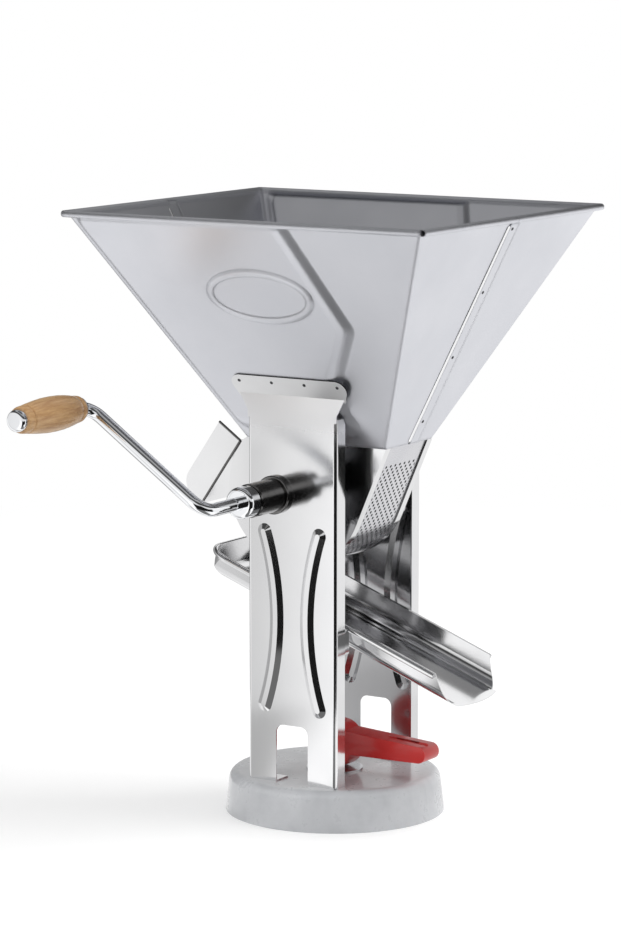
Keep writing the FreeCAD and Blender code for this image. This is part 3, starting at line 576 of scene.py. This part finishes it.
@dataclass(frozen=True)
class TurnedWood(Finish):
    """Varnished beech turned along an axis."""

    pale: Colour = (0.58, 0.36, 0.17)
    dark: Colour = (0.38, 0.2, 0.08)
    axis: Axis = Axis.Y
    smooth: float = 0.32
    rough: float = 0.5
    grain_stretch: float = 0.06
    grain_size: float = 0.0022
    band_size: float = 0.012
    band_share: float = 0.4
    tone_range: tuple[float, float] = (0.38, 0.62)
    fleck_fade: float = 0.55
    fleck_range: tuple[float, float] = (0.6, 0.75)
    pore_size: float = 0.0004
    pore_depth: float = 0.00006
    varnish: float = 0.35
    varnish_roughness: float = 0.15

    def paint(self, graph: Graph) -> bpy.types.Material:
        """Draw long grain, short pores and a coat of varnish.

        Args:
            graph: empty graph.

        Returns:
            The material.
        """
        long_way = [1.0, 1.0, 1.0]
        long_way[self.axis.value] = self.grain_stretch
        place = graph.place(long_way)
        grain = graph.noise(self.grain_size, detail=4.0, rough=0.65, vector=place)
        pores = graph.noise(self.pore_size, detail=1.0, rough=0.5, vector=place)
        bands = graph.noise(self.band_size, detail=2.0, rough=0.5, vector=place)
        rings = grain * (1 - self.band_share) + bands * self.band_share
        tone = graph.spread(rings, 0.0, 1.0, *self.tone_range)
        flecks = graph.spread(pores, 1.0, self.fleck_fade, *self.fleck_range)
        colour = graph.blend(tone, self.pale, self.dark)
        return graph.close(
            Base_Color=graph.blend(flecks, self.dark, colour),
            Roughness=graph.spread(grain, self.smooth, self.rough),
            Coat_Weight=self.varnish, Coat_Roughness=self.varnish_roughness,
            Normal=graph.bump(pores, self.pore_depth))


HOPPER_TIN = SheetMetal(
    "hopper_tin", tint=(0.735, 0.742, 0.783), cloud_tint=(0.7, 0.71, 0.752), smooth=0.32, rough=0.4,
    wave_depth=0.0001, wave_size=0.09, fold_radius=0.004)
BRIGHT_TIN = SheetMetal(
    "bright_tin", tint=(0.82, 0.82, 0.825), cloud_tint=(0.77, 0.77, 0.78), smooth=0.08, rough=0.15)
TRAY_TIN = SheetMetal(
    "tray_tin", tint=(0.76, 0.76, 0.765), cloud_tint=(0.7, 0.7, 0.71), smooth=0.09, rough=0.16, grain=Axis.X)
FRONT_LEG_TIN = LegSheet("front_leg_tin", smooth=0.09, rough=0.15, inside=1.0)
REAR_LEG_TIN = LegSheet("rear_leg_tin", smooth=0.11, rough=0.18, inside=-1.0, inside_shade_tint=(0.56, 0.56, 0.57))
SCREEN_TIN = PerforatedMetal(
    "screen_tin", tint=(0.7, 0.7, 0.72), cloud_tint=(0.64, 0.64, 0.67), smooth=0.2, rough=0.32, grain=Axis.Y)
# dark turned steel of the bushings; on the chute's wired edges it is also a painted shadow line
DARK_STEEL_AND_GAP_SHADOW = TurnedMetal(
    "dark_steel_and_gap_shadow", tint=(0.2, 0.197, 0.194), stain=(0.14, 0.138, 0.136), smooth=0.14, rough=0.24)
PLAIN_STEEL = TurnedMetal("plain_steel", tint=(0.66, 0.66, 0.68), stain=(0.56, 0.56, 0.58))
CHROME = TurnedMetal(
    "chrome", tint=(0.9, 0.91, 0.93), stain=(0.86, 0.87, 0.89), smooth=0.03, rough=0.07, ring_depth=0.0000005)
ROTOR_PLASTIC = Moulded(
    "rotor_plastic", tint=(0.05, 0.05, 0.054), worn=(0.08, 0.078, 0.075), smooth=0.4, rough=0.55)
BLACK_PLASTIC = Moulded("black_plastic", tint=(0.012, 0.012, 0.013), worn=(0.03, 0.03, 0.03))
GREY_PAINT = Moulded(
    "grey_paint", tint=(0.55, 0.56, 0.58), worn=(0.48, 0.49, 0.51), smooth=0.24, rough=0.36, grain_size=0.003,
    grain_depth=0.00001, coat=0.5)
RED_PLASTIC = Moulded(
    "red_plastic", tint=(0.55, 0.022, 0.02), worn=(0.5, 0.03, 0.028), smooth=0.28, rough=0.42, coat=0.2)
CUP_RUBBER = Moulded(
    "cup_rubber", tint=(0.018, 0.018, 0.019), worn=(0.04, 0.04, 0.041), smooth=0.55, rough=0.8)
SOLDER = SheetMetal("solder", tint=(0.97, 0.97, 0.975), cloud_tint=(0.93, 0.93, 0.94), smooth=0.2, rough=0.3)
WELD_BURN = TurnedMetal("weld_burn", tint=(0.13, 0.13, 0.14), stain=(0.05, 0.05, 0.05), smooth=0.3, rough=0.5)
BEECH = TurnedWood("beech")


@dataclass(frozen=True)
class Lamp:
    """Square soft light that the metal doesn't mirror."""

    name: str
    place: tuple[float, float, float]
    aim: tuple[float, float, float]
    size: float
    power: float

    def hang(self) -> None:
        """Hang the light and turn it to its aim."""
        data = bpy.data.lights.new(self.name, "AREA")
        data.size = self.size
        data.energy = self.power
        lamp = bpy.data.objects.new(self.name, data)
        lamp.visible_glossy = False
        bpy.context.scene.collection.objects.link(lamp)
        lamp.location = self.place
        lamp.rotation_euler = (Vector(self.aim) - Vector(self.place)).to_track_quat("-Z", "Y").to_euler()


@dataclass
class Studio:
    """Plain white studio: floor, soft lights, a paper tent for the metal to mirror, and the camera."""

    camera_place: tuple[float, float, float] = (1.59669, -2.58422, 0.75797)
    camera_yaw: float = 32.1
    camera_pitch: float = 8.7
    focal_pixels: float = 3668.6
    picture_height: float = 931.0
    sensor: float = 36.0
    view_reach: float = 50.0
    floor_size: float = 90.0
    floor_tint: Colour = (0.82, 0.82, 0.82)
    floor_glow: float = 0.24
    floor_fade: tuple[float, float] = (0.5, 1.6)
    world_level: float = 0.75
    lamps: tuple[Lamp, ...] = (
        Lamp("key", place=(1.5, 0.9, 2.6), aim=(0.0, 0.0, 0.25), size=1.6, power=42.0),
        Lamp("fill", place=(-0.6, -2.4, 1.8), aim=(0.0, 0.0, 0.3), size=1.4, power=14.0))
    tent_sides: int = 96
    tent_radius: float = 0.5
    tent_height: float = 1.4
    tent_fade: tuple[float, float] = (0.46, 0.52)
    tent_band: float = 0.06
    tent_open: tuple[float, float] = (0.72, 0.9)
    tent_top: float = 0.4
    tent_rise: tuple[float, float] = (0.32, 0.36)
    tent_low: Levels = (
        (-180, 0.4), (-162, 0.55), (-150, 1.1), (-130, 1.02), (-123, 0.72), (-118.5, 0.95), (-110, 1.25),
        (-93, 1.25), (-87, 0.01), (-5, 0.01), (3, 0.97), (75, 0.97), (90, 0.9), (104, 0.55), (124, 0.75),
        (150, 0.3), (180, 0.35))
    tent_high: Levels = (
        (-180, 0.35), (-160, 0.5), (-140, 0.8), (-118, 0.9), (-100, 0.9), (-88, 0.8), (-5, 0.8), (3, 1.1),
        (75, 1.1), (90, 1.2), (125, 1.2), (150, 0.5), (180, 0.35))
    # painted light and shade of the floor as the metal mirrors it, by bearing
    mirrored_floor_glow: Levels = (
        (-180, 1.02), (-152, 1.0), (-145, 0.9), (-138, 0.68), (-123, 0.5), (-119, 0.55), (-113, 1.25),
        (-102, 1.25), (-94, 0.18), (-55, 0.18), (-42, 0.9), (-25, 1.2), (20, 1.1), (60, 0.85), (110, 1.0),
        (150, 0.9), (180, 1.2))
    ceiling: tuple[tuple[float, Colour], ...] = (
        (0.0, WHITE), (0.12, WHITE), (0.34, (0.12, 0.12, 0.13)), (1.0, (0.1, 0.1, 0.11)))

    def build(self) -> None:
        """Set up the whole studio."""
        self.make_camera()
        self.make_world()
        self.make_floor()
        for lamp in self.lamps:
            lamp.hang()
        self.make_tent()
        bpy.context.scene.view_settings.view_transform = "Standard"

    def make_camera(self) -> None:
        """Stand the camera where the photograph was taken from."""
        data = bpy.data.cameras.new("camera")
        data.sensor_width = self.sensor
        data.lens = self.focal_pixels * self.sensor / self.picture_height
        data.clip_end = self.view_reach
        camera = bpy.data.objects.new("camera", data)
        bpy.context.scene.collection.objects.link(camera)
        camera.location = self.camera_place
        camera.rotation_euler = (math.radians(90.0 - self.camera_pitch), 0.0, math.radians(self.camera_yaw))
        bpy.context.scene.camera = camera

    @staticmethod
    def seen_or_mirrored(graph: Graph) -> Sock:
        """Mask of the rays that show the background.

        Args:
            graph: graph to draw in.

        Returns:
            1 for camera, glossy and transmitted rays, else 0.
        """
        rays = [graph.add("ShaderNodeLightPath", output=f"Is {kind} Ray")
                for kind in ("Camera", "Glossy", "Transmission")]
        return rays[0].at_least(rays[1]).at_least(rays[2])

    def make_world(self) -> None:
        """Light the scene evenly from all round; metal mirrors a white horizon and a dim ceiling."""
        world = bpy.data.worlds.new("studio")
        bpy.context.scene.world = world
        graph = Graph(world)
        aim = graph.add("ShaderNodeTexCoord", output="Generated")
        height = graph.add("ShaderNodeSeparateXYZ", inputs={0: aim}, output="Z")
        ceiling = graph.add("ShaderNodeValToRGB", {"stops": self.ceiling}, {0: height})
        camera = graph.add("ShaderNodeLightPath", output="Is Camera Ray")
        shown = graph.blend(camera, ceiling, WHITE)
        even = graph.add(
            "ShaderNodeBackground", inputs={"Color": (*WHITE, 1.0), "Strength": self.world_level})
        white = graph.add("ShaderNodeBackground", inputs={"Color": shown, "Strength": 1.0})
        graph.end_in(graph.add(
            "ShaderNodeMixShader", inputs={0: self.seen_or_mirrored(graph), 1: even, 2: white}))

    def make_floor(self) -> None:
        """Lay a pale floor that keeps the press's shadow and turns white far from it; the metal mirrors it as
        a glow of painted light and shade that changes with the bearing round the press.
        """
        Bench.clear()
        bpy.ops.mesh.primitive_plane_add(size=self.floor_size)
        floor = bpy.context.object
        floor.name = "floor"
        graph = Graph(bpy.data.materials.new("floor_paint"))
        away = graph.add("ShaderNodeVectorMath", {"operation": "LENGTH"}, {0: graph.place()}, output="Value")
        paint = graph.add("ShaderNodeBsdfDiffuse", inputs={"Color": (*self.floor_tint, 1.0)})
        glow = graph.add("ShaderNodeEmission", inputs={"Strength": self.floor_glow})
        white = graph.add("ShaderNodeEmission", inputs={"Strength": 1.0})
        lifted = graph.add("ShaderNodeAddShader", inputs={0: paint, 1: glow})
        far = graph.spread(away, 0.0, 1.0, *self.floor_fade)
        shown = graph.add("ShaderNodeMixShader", inputs={0: far, 1: lifted, 2: white})
        # painted reflection: glossy rays see the floor as a glow set by bearing, not as the lit floor
        bright = self.by_bearing(graph, self.mirrored_floor_glow)
        mirrored = graph.add("ShaderNodeEmission", inputs={"Color": bright})
        glossy = graph.add("ShaderNodeLightPath", output="Is Glossy Ray")
        looks = graph.add("ShaderNodeMixShader", inputs={0: glossy, 1: shown, 2: mirrored})
        floor.data.materials.append(graph.end_in(graph.add(
            "ShaderNodeMixShader", inputs={0: self.seen_or_mirrored(graph), 1: paint, 2: looks})))

    @staticmethod
    def by_bearing(graph: Graph, levels: Levels) -> Sock:
        """Grey that changes with the bearing round the press.

        Args:
            graph: graph to draw in.
            levels: bearings from +X in degrees, rising from -180 to 180, with their brightness.

        Returns:
            The colour.
        """
        own = graph.place()
        east, north = (graph.add("ShaderNodeSeparateXYZ", inputs={0: own}, output=axis) for axis in "XY")
        stops = [((angle + 180.0) / 360.0, (level,) * 3) for angle, level in levels]
        turn = north.angle(east) * (0.5 / math.pi) + 0.5
        return graph.add("ShaderNodeValToRGB", {"stops": stops}, {0: turn})

    def make_tent(self) -> None:
        """Stand a round paper tent, dark in places, that only the bright metal mirrors."""
        Bench.clear()
        bpy.ops.mesh.primitive_cylinder_add(
            vertices=self.tent_sides, radius=self.tent_radius, depth=self.tent_height,
            end_fill_type="NOTHING", location=(0.0, 0.0, self.tent_height / 2))
        tent = bpy.context.object
        tent.name = "tent"
        bpy.ops.object.transform_apply(location=True)
        graph = Graph(bpy.data.materials.new("tent_paper"))
        height = graph.add("ShaderNodeSeparateXYZ", inputs={0: graph.place()}, output="Z")
        lower = self.by_bearing(graph, self.tent_low)
        upper = self.by_bearing(graph, self.tent_high)
        wall = graph.blend(graph.spread(height, 0.0, 1.0, *self.tent_rise), lower, upper)
        banded = graph.blend(graph.spread(height, 0.0, 1.0, *self.tent_fade), wall, (self.tent_band,) * 3)
        shade = graph.blend(graph.spread(height, 0.0, 1.0, *self.tent_open), banded, (self.tent_top,) * 3)
        tent.data.materials.append(graph.end_in(graph.add("ShaderNodeEmission", inputs={"Color": shade})))
        for rays in ("camera", "diffuse", "shadow", "transmission"):
            setattr(tent, f"visible_{rays}", False)


class Bench:
    """Modelling by operators on one piece at a time."""

    merge_distance: ClassVar[float] = 1e-6
    flat_angle: ClassVar[float] = 0.5
    smooth_angle: ClassVar[float] = 35.0

    @staticmethod
    def clear() -> None:
        """Leave edit mode and select nothing."""
        if bpy.context.object is not None and bpy.context.object.mode != "OBJECT":
            bpy.ops.object.mode_set(mode="OBJECT")
        bpy.ops.object.select_all(action="DESELECT")

    @staticmethod
    def take(piece: bpy.types.Object) -> None:
        """Make one piece the only one selected.

        Args:
            piece: object to work on.
        """
        Bench.clear()
        piece.select_set(True)
        bpy.context.view_layer.objects.active = piece

    @staticmethod
    def merge(piece: bpy.types.Object) -> None:
        """Take a piece into edit mode, all selected, and merge its doubles.

        Args:
            piece: object to work on.
        """
        Bench.take(piece)
        bpy.ops.object.mode_set(mode="EDIT")
        bpy.ops.mesh.select_all(action="SELECT")
        bpy.ops.mesh.remove_doubles(threshold=Bench.merge_distance)

    @staticmethod
    def tidy(piece: bpy.types.Object) -> None:
        """Merge doubles, turn faces outwards and shade all but sharp edges smooth.

        Args:
            piece: object to tidy.
        """
        Bench.merge(piece)
        bpy.ops.mesh.normals_make_consistent(inside=False)
        bpy.ops.object.mode_set(mode="OBJECT")
        bpy.ops.object.shade_smooth_by_angle(angle=math.radians(Bench.smooth_angle))

    @staticmethod
    def turned(name: str, profile: Sequence[tuple[float, float]], start: Vector, along: Vector,
               sides: int, bored: bool = False) -> bpy.types.Object:
        """Turn a round piece on the lathe, ring by ring.

        Args:
            name: name of the piece.
            profile: distance along the axis and radius of each ring, in millimetres.
            start: place of distance 0 on the axis, in metres.
            along: unit vector of the axis.
            sides: points round a ring.
            bored: whether the last ring joins the first, rather than both being closed.

        Returns:
            The piece, in place, with its transform applied.
        """
        Bench.clear()
        bpy.ops.mesh.primitive_circle_add(
            vertices=sides, radius=profile[0][1] * MM, location=start + along * (profile[0][0] * MM),
            rotation=along.to_track_quat("Z", "Y").to_euler())
        piece = bpy.context.object
        piece.name = name
        bpy.ops.object.transform_apply(location=True, rotation=True, scale=True)
        bpy.ops.object.mode_set(mode="EDIT")
        bpy.ops.mesh.select_all(action="SELECT")
        for (place, radius), (next_place, next_radius) in zip(profile, profile[1:]):
            bpy.ops.mesh.extrude_edges_move(
                TRANSFORM_OT_translate={"value": along * ((next_place - place) * MM)})
            grow = next_radius / radius
            bpy.ops.transform.resize(
                value=(grow, grow, grow), center_override=start + along * (next_place * MM))
        bpy.ops.mesh.select_all(action="DESELECT")
        bpy.ops.mesh.select_mode(type="EDGE")
        bpy.ops.mesh.select_non_manifold()
        if bored:
            bpy.ops.mesh.bridge_edge_loops()
        else:
            bpy.ops.mesh.fill_holes(sides=0)
        bpy.ops.mesh.select_mode(type="VERT")
        Bench.tidy(piece)
        return piece

    @staticmethod
    def rod(name: str, length: float, radius: float, tip: float, sides: int,
            start: Vector = ORIGIN, along: Vector = UP) -> bpy.types.Object:
        """Turn a straight rod with tapered ends.

        Args:
            name: name of the rod.
            length: whole length in millimetres.
            radius: radius of the straight stretch in millimetres.
            tip: radius of the ends as a share of the rod's.
            sides: points round the rod.
            start: place of one end, in metres.
            along: unit vector towards the other end.

        Returns:
            The rod, in place.
        """
        taper = radius / 2
        rings = [(0.0, radius * tip), (taper, radius), (length - taper, radius), (length, radius * tip)]
        return Bench.turned(name, rings, start, along, sides)

    @staticmethod
    def spread(pattern: bpy.types.Object, name: str, places: Iterable[Matrix]) -> bpy.types.Object:
        """Copy a pattern piece to each place and join the copies.

        Args:
            pattern: piece modelled at the origin; it is used up.
            name: name of the joined piece.
            places: matrix of each copy.

        Returns:
            The joined piece.
        """
        copies = []
        for place in places:
            copy = pattern.copy()
            copy.data = pattern.data.copy()
            bpy.context.scene.collection.objects.link(copy)
            copy.matrix_world = place
            copies.append(copy)
        Bench.clear()
        for copy in copies:
            copy.select_set(True)
        bpy.context.view_layer.objects.active = copies[0]
        bpy.ops.object.transform_apply(location=True, rotation=True, scale=True)
        bpy.ops.object.join()
        joined = bpy.context.object
        joined.name = name
        bpy.data.objects.remove(pattern)
        return joined

    @staticmethod
    def apply(piece: bpy.types.Object, kind: str, **settings: Any) -> None:
        """Add a modifier and apply it.

        Args:
            piece: object to change.
            kind: type of the modifier.
            settings: its properties.
        """
        Bench.take(piece)
        modifier = piece.modifiers.new(kind.lower(), kind)
        for key, value in settings.items():
            setattr(modifier, key, value)
        bpy.ops.object.modifier_apply(modifier=modifier.name)

    @staticmethod
    def merged_copy(node: str, name: str) -> bpy.types.Object:
        """Copy a CAD node's mesh into a new piece with its triangles merged into flat faces.

        Args:
            node: name of the CAD node.
            name: name of the piece.

        Returns:
            The piece.
        """
        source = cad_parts[node]
        piece = bpy.data.objects.new(name, source.data.copy())
        bpy.context.scene.collection.objects.link(piece)
        Bench.merge(piece)
        bpy.ops.mesh.dissolve_limited(angle_limit=math.radians(Bench.flat_angle))
        bpy.ops.object.mode_set(mode="OBJECT")
        return piece

    @staticmethod
    def on_surface(node: str, place: Sequence[float], aim: Sequence[float]) -> Matrix:
        """Frame that stands on a CAD node's surface, with Z out of it.

        Args:
            node: name of the CAD node.
            place: point outside the surface, in millimetres.
            aim: direction in which the surface is looked for.

        Returns:
            Matrix of the frame, in metres.
        """
        found, spot, normal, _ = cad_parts[node].ray_cast(Vector(place) * MM, Vector(aim).normalized())
        if not found:
            raise ValueError(f"nothing of {node} lies beyond {place}")
        return Matrix.Translation(spot) @ normal.to_track_quat("Z", "Y").to_matrix().to_4x4()


@dataclass
class SubAssembly:
    """A group of pieces that are built and dressed together."""

    finishes: ClassVar[dict[str, Finish]] = {}

    def build(self) -> None:
        """Model the group's own pieces; a group of CAD nodes alone has none."""

    def dress(self) -> None:
        """Give the group's CAD nodes their finishes."""
        for name, finish in self.finishes.items():
            finish.put_on(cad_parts[name])
            LOG.info("%s wears %s", name, finish.name)

    @staticmethod
    def hand_over(piece: bpy.types.Object, body: Body, finish: Finish, slot: str) -> None:
        """Dress a new piece and let it ride.

        Args:
            piece: finished piece.
            body: rigid body that carries it.
            finish: what it wears.
            slot: material slot of the record that the finish stands for; not used.
        """
        finish.put_on(piece)
        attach(piece, body.value)
        LOG.info("%s rides on %s and wears %s", piece.name, body.value, finish.name)


@dataclass
class SpotWeld:
    """Small pressed mark of a spot weld."""

    radius: float = 1.5
    rise: float = 0.3
    root: float = 0.2
    crown: float = 0.85
    pit: float = 0.8
    pit_taper: float = 0.7
    pit_floor: float = 0.3

    def pattern(self) -> bpy.types.Object:
        """Model one mark at the origin, with its face towards Z.

        Returns:
            The mark.
        """
        rings = [(-self.root, self.radius), (0.0, self.radius), (self.rise, self.radius * self.crown),
                 (self.rise, self.pit), (self.rise * self.pit_floor, self.pit * self.pit_taper)]
        return Bench.turned("weld_pattern", rings, ORIGIN, UP, sides=14)


@dataclass
class Hopper(SubAssembly):
    """Flared hopper of two lapped half shells."""

    seam_y: float = 4.0
    seam_heights: tuple[float, ...] = (336.0, 391.0, 446.0, 499.0)
    bead_y: float = -2.4
    bead_heights: dict[int, tuple[float, float]] = field(
        default_factory=lambda: {-1: (338.0, 502.0), 1: (319.0, 502.0)})
    bead_width: float = 4.8
    bead_rise: float = 0.95
    bead_tip: float = 0.6
    outside: float = 220.0
    weld: SpotWeld = field(default_factory=SpotWeld)
    finishes = {"hopper_front": HOPPER_TIN, "hopper_rear": HOPPER_TIN}

    def build(self) -> None:
        """Mark the welds and run the solder down the lapped seams of both side walls."""
        places = [
            Bench.on_surface("hopper_rear", (side * self.outside, self.seam_y, height), (-side, 0.0, 0.0))
            for side in (-1, 1) for height in self.seam_heights]
        welds = Bench.spread(self.weld.pattern(), "seam_welds", places)
        self.hand_over(welds, Body.FRAME, WELD_BURN, "hopper_steel")
        for name, side in (("left_seam_bead", -1), ("right_seam_bead", 1)):
            self.hand_over(self.seam_bead(name, side), Body.FRAME, SOLDER, "hopper_steel")

    def seam_bead(self, name: str, side: int) -> bpy.types.Object:
        """Run a bead of solder down the free edge of a lapped seam.

        Args:
            name: name of the bead.
            side: -1 for the left wall, 1 for the right.

        Returns:
            The bead.
        """
        low, high = (
            Bench.on_surface("hopper_front", (side * self.outside, self.bead_y, height), (-side, 0.0, 0.0))
            for height in self.bead_heights[side])
        along = high.translation - low.translation
        radius = self.bead_width / 2
        round_bead = Bench.rod("bead_pattern", along.length / MM, radius, self.bead_tip, sides=24)
        outwards = low.to_3x3().col[2]
        along.normalize()
        lie = Matrix((outwards * (self.bead_rise / radius), along.cross(outwards), along)).transposed()
        return Bench.spread(round_bead, name, [Matrix.Translation(low.translation) @ lie.to_4x4()])


@dataclass
class Legs(SubAssembly):
    """Two stamped legs welded to the hopper by their tabs."""

    tab_height: float = 370.0
    weld_places: tuple[float, ...] = (-47.4, -15.8, 15.8, 47.4)
    outside: float = 150.0
    weld: SpotWeld = field(default_factory=SpotWeld)
    finishes = {"front_leg": FRONT_LEG_TIN, "rear_leg": REAR_LEG_TIN}

    def build(self) -> None:
        """Mark the welds along the tabs."""
        places = [
            Bench.on_surface(node, (x, side * self.outside, self.tab_height), (0.0, -side, 0.0))
            for node, side in (("front_leg", -1), ("rear_leg", 1)) for x in self.weld_places]
        welds = Bench.spread(self.weld.pattern(), "tab_welds", places)
        self.hand_over(welds, Body.FRAME, WELD_BURN, "polished_steel")


@dataclass
class Trough(SubAssembly):
    """Trough under the hopper with its screen and skins chute."""

    chute_root: tuple[float, float] = (-69.76, 313.55)
    chute_foot: tuple[float, float] = (-109.14, 256.89)
    chute_lip: tuple[float, float] = (-91.1, 328.39)
    cheek_y: float = 38.1
    wire_radius: float = 1.1
    wire_tip: float = 0.5
    finishes = {
        "front_end_plate": BRIGHT_TIN, "rear_end_plate": BRIGHT_TIN, "strainer_screen": SCREEN_TIN,
        "trough_sheet": BRIGHT_TIN, "skin_chute": BRIGHT_TIN}

    def build(self) -> None:
        """Run a wired edge along the lip and the hem of both chute cheeks, dark as painted shadow of the gaps
        along them.
        """
        for cheek, side in (("front", -1), ("rear", 1)):
            for edge, far in (("lip", self.chute_lip), ("hem", self.chute_foot)):
                wire = self.wired_edge(f"{cheek}_chute_{edge}", side * self.cheek_y, far)
                # painted shadow: the rolled edges are real, and their dark steel draws the shadow gaps along
                # the cheeks
                self.hand_over(wire, Body.FRAME, DARK_STEEL_AND_GAP_SHADOW, "polished_steel")

    def wired_edge(self, name: str, y: float, far: tuple[float, float]) -> bpy.types.Object:
        """Roll one edge of a cheek over a wire.

        Args:
            name: name of the edge.
            y: place of the cheek.
            far: far end of the edge from the chute's root.

        Returns:
            The rolled edge.
        """
        start = Vector((self.chute_root[0], y, self.chute_root[1])) * MM
        run = Vector((far[0], y, far[1])) * MM - start
        return Bench.rod(
            name, run.length / MM, self.wire_radius, self.wire_tip, sides=16, start=start,
            along=run.normalized())


@dataclass
class Rotor(SubAssembly):
    """Rotor with its shaft and bearings."""

    finishes = {
        "front_bushing": DARK_STEEL_AND_GAP_SHADOW, "rear_bushing": DARK_STEEL_AND_GAP_SHADOW, "front_collar": DARK_STEEL_AND_GAP_SHADOW,
        "rear_collar": DARK_STEEL_AND_GAP_SHADOW, "rotor_shaft": PLAIN_STEEL, "rotor_drum": ROTOR_PLASTIC,
        "wiper_blades": ROTOR_PLASTIC, "rotor_pin": PLAIN_STEEL, "rear_washer": PLAIN_STEEL,
        "retaining_ring": PLAIN_STEEL}


@dataclass
class Crank(SubAssembly):
    """Chromed crank with its turned wooden grip."""

    grip_profile: tuple[tuple[float, float], ...] = (
        (0.0, 5.7), (0.0, 9.6), (0.5, 10.4), (1.6, 10.9), (4.4, 11.3), (5.0, 11.1), (5.5, 10.5), (6.5, 10.5),
        (7.0, 11.2), (7.6, 11.6), (12.0, 12.4), (18.0, 13.3), (26.0, 14.1), (36.0, 14.45), (46.0, 14.3),
        (56.0, 13.5), (64.0, 12.6), (70.0, 11.8), (70.8, 11.5), (71.3, 10.8), (72.3, 10.8), (72.8, 11.3),
        (74.0, 11.4), (77.4, 11.0), (79.0, 10.4), (79.8, 9.5), (80.0, 8.6), (80.0, 5.7))
    finishes = {
        "thrust_washer": BLACK_PLASTIC, "crank_coupling": CHROME, "coupling_screw": PLAIN_STEEL,
        "crank_rod": CHROME, "grip_washer": PLAIN_STEEL, "crank_grip": BEECH, "grip_cap": CHROME}

    def build(self) -> None:
        """Turn the wooden grip with its two grooves."""
        low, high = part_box("crank_grip")
        start = Vector(((low[0] + high[0]) / 2, high[1], (low[2] + high[2]) / 2))
        along = Vector((0.0, -1.0, 0.0))
        grip = Bench.turned("turned_grip", self.grip_profile, start, along, sides=64, bored=True)
        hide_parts("crank_grip")
        self.hand_over(grip, Body.GRIP, BEECH, "grip_wood")


@dataclass
class Tray(SubAssembly):
    """Juice tray and its clips."""

    finishes = {"juice_tray": TRAY_TIN, "tray_clips": BRIGHT_TIN}


@dataclass
class SuctionBase(SubAssembly):
    """Painted base with its suction cup and cam lever."""

    lever_edge: float = 1.4
    lever_edge_steps: int = 3
    lever_fold: float = 40.0
    above_lever: float = 150.0
    ridge_places: tuple[float, ...] = (62.0, 69.0, 76.0, 83.0)
    ridge_length: float = 17.0
    ridge_radius: float = 1.3
    ridge_shoulder: float = 0.6
    ridge_tip: float = 0.4
    ridge_taper: float = 0.3
    finishes = {
        "base_shell": GREY_PAINT, "suction_cup": CUP_RUBBER, "suction_stem": PLAIN_STEEL,
        "cam_washer": PLAIN_STEEL, "suction_lever": RED_PLASTIC, "lever_pin": PLAIN_STEEL,
        "base_rivets": PLAIN_STEEL}

    def build(self) -> None:
        """Mould the lever with round edges and thumb ridges."""
        ridges = Bench.spread(self.ridge_pattern(), "thumb_ridges", [
            Bench.on_surface("suction_lever", (x, 0.0, self.above_lever), -UP) for x in self.ridge_places])
        self.hand_over(ridges, Body.LEVER, RED_PLASTIC, "lever_plastic")
        lever = Bench.merged_copy("suction_lever", "moulded_lever")
        Bench.apply(
            lever, "BEVEL", width=self.lever_edge * MM, segments=self.lever_edge_steps, limit_method="ANGLE",
            angle_limit=math.radians(self.lever_fold))
        Bench.tidy(lever)
        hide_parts("suction_lever")
        self.hand_over(lever, Body.LEVER, RED_PLASTIC, "lever_plastic")

    def ridge_pattern(self) -> bpy.types.Object:
        """Model one thumb ridge at the origin, across the lever.

        Returns:
            The ridge.
        """
        half = self.ridge_length / 2
        round_end = self.ridge_radius * self.ridge_shoulder
        near_end = [(half - self.ridge_radius, self.ridge_radius), (half - self.ridge_taper, round_end),
                    (half, self.ridge_tip)]
        far_end = [(-place, radius) for place, radius in reversed(near_end)]
        return Bench.turned("ridge_pattern", far_end + near_end, ORIGIN, Vector((0.0, 1.0, 0.0)), sides=16)


def main() -> None:
    """Build and dress each group of the press, then set up the studio."""
    logging.basicConfig(level=logging.INFO, format="%(message)s")
    for group in (Hopper(), Legs(), Trough(), Rotor(), Crank(), Tray(), SuctionBase()):
        group.build()
        group.dress()
    Studio().build()


if __name__ == "__main__":
    main()
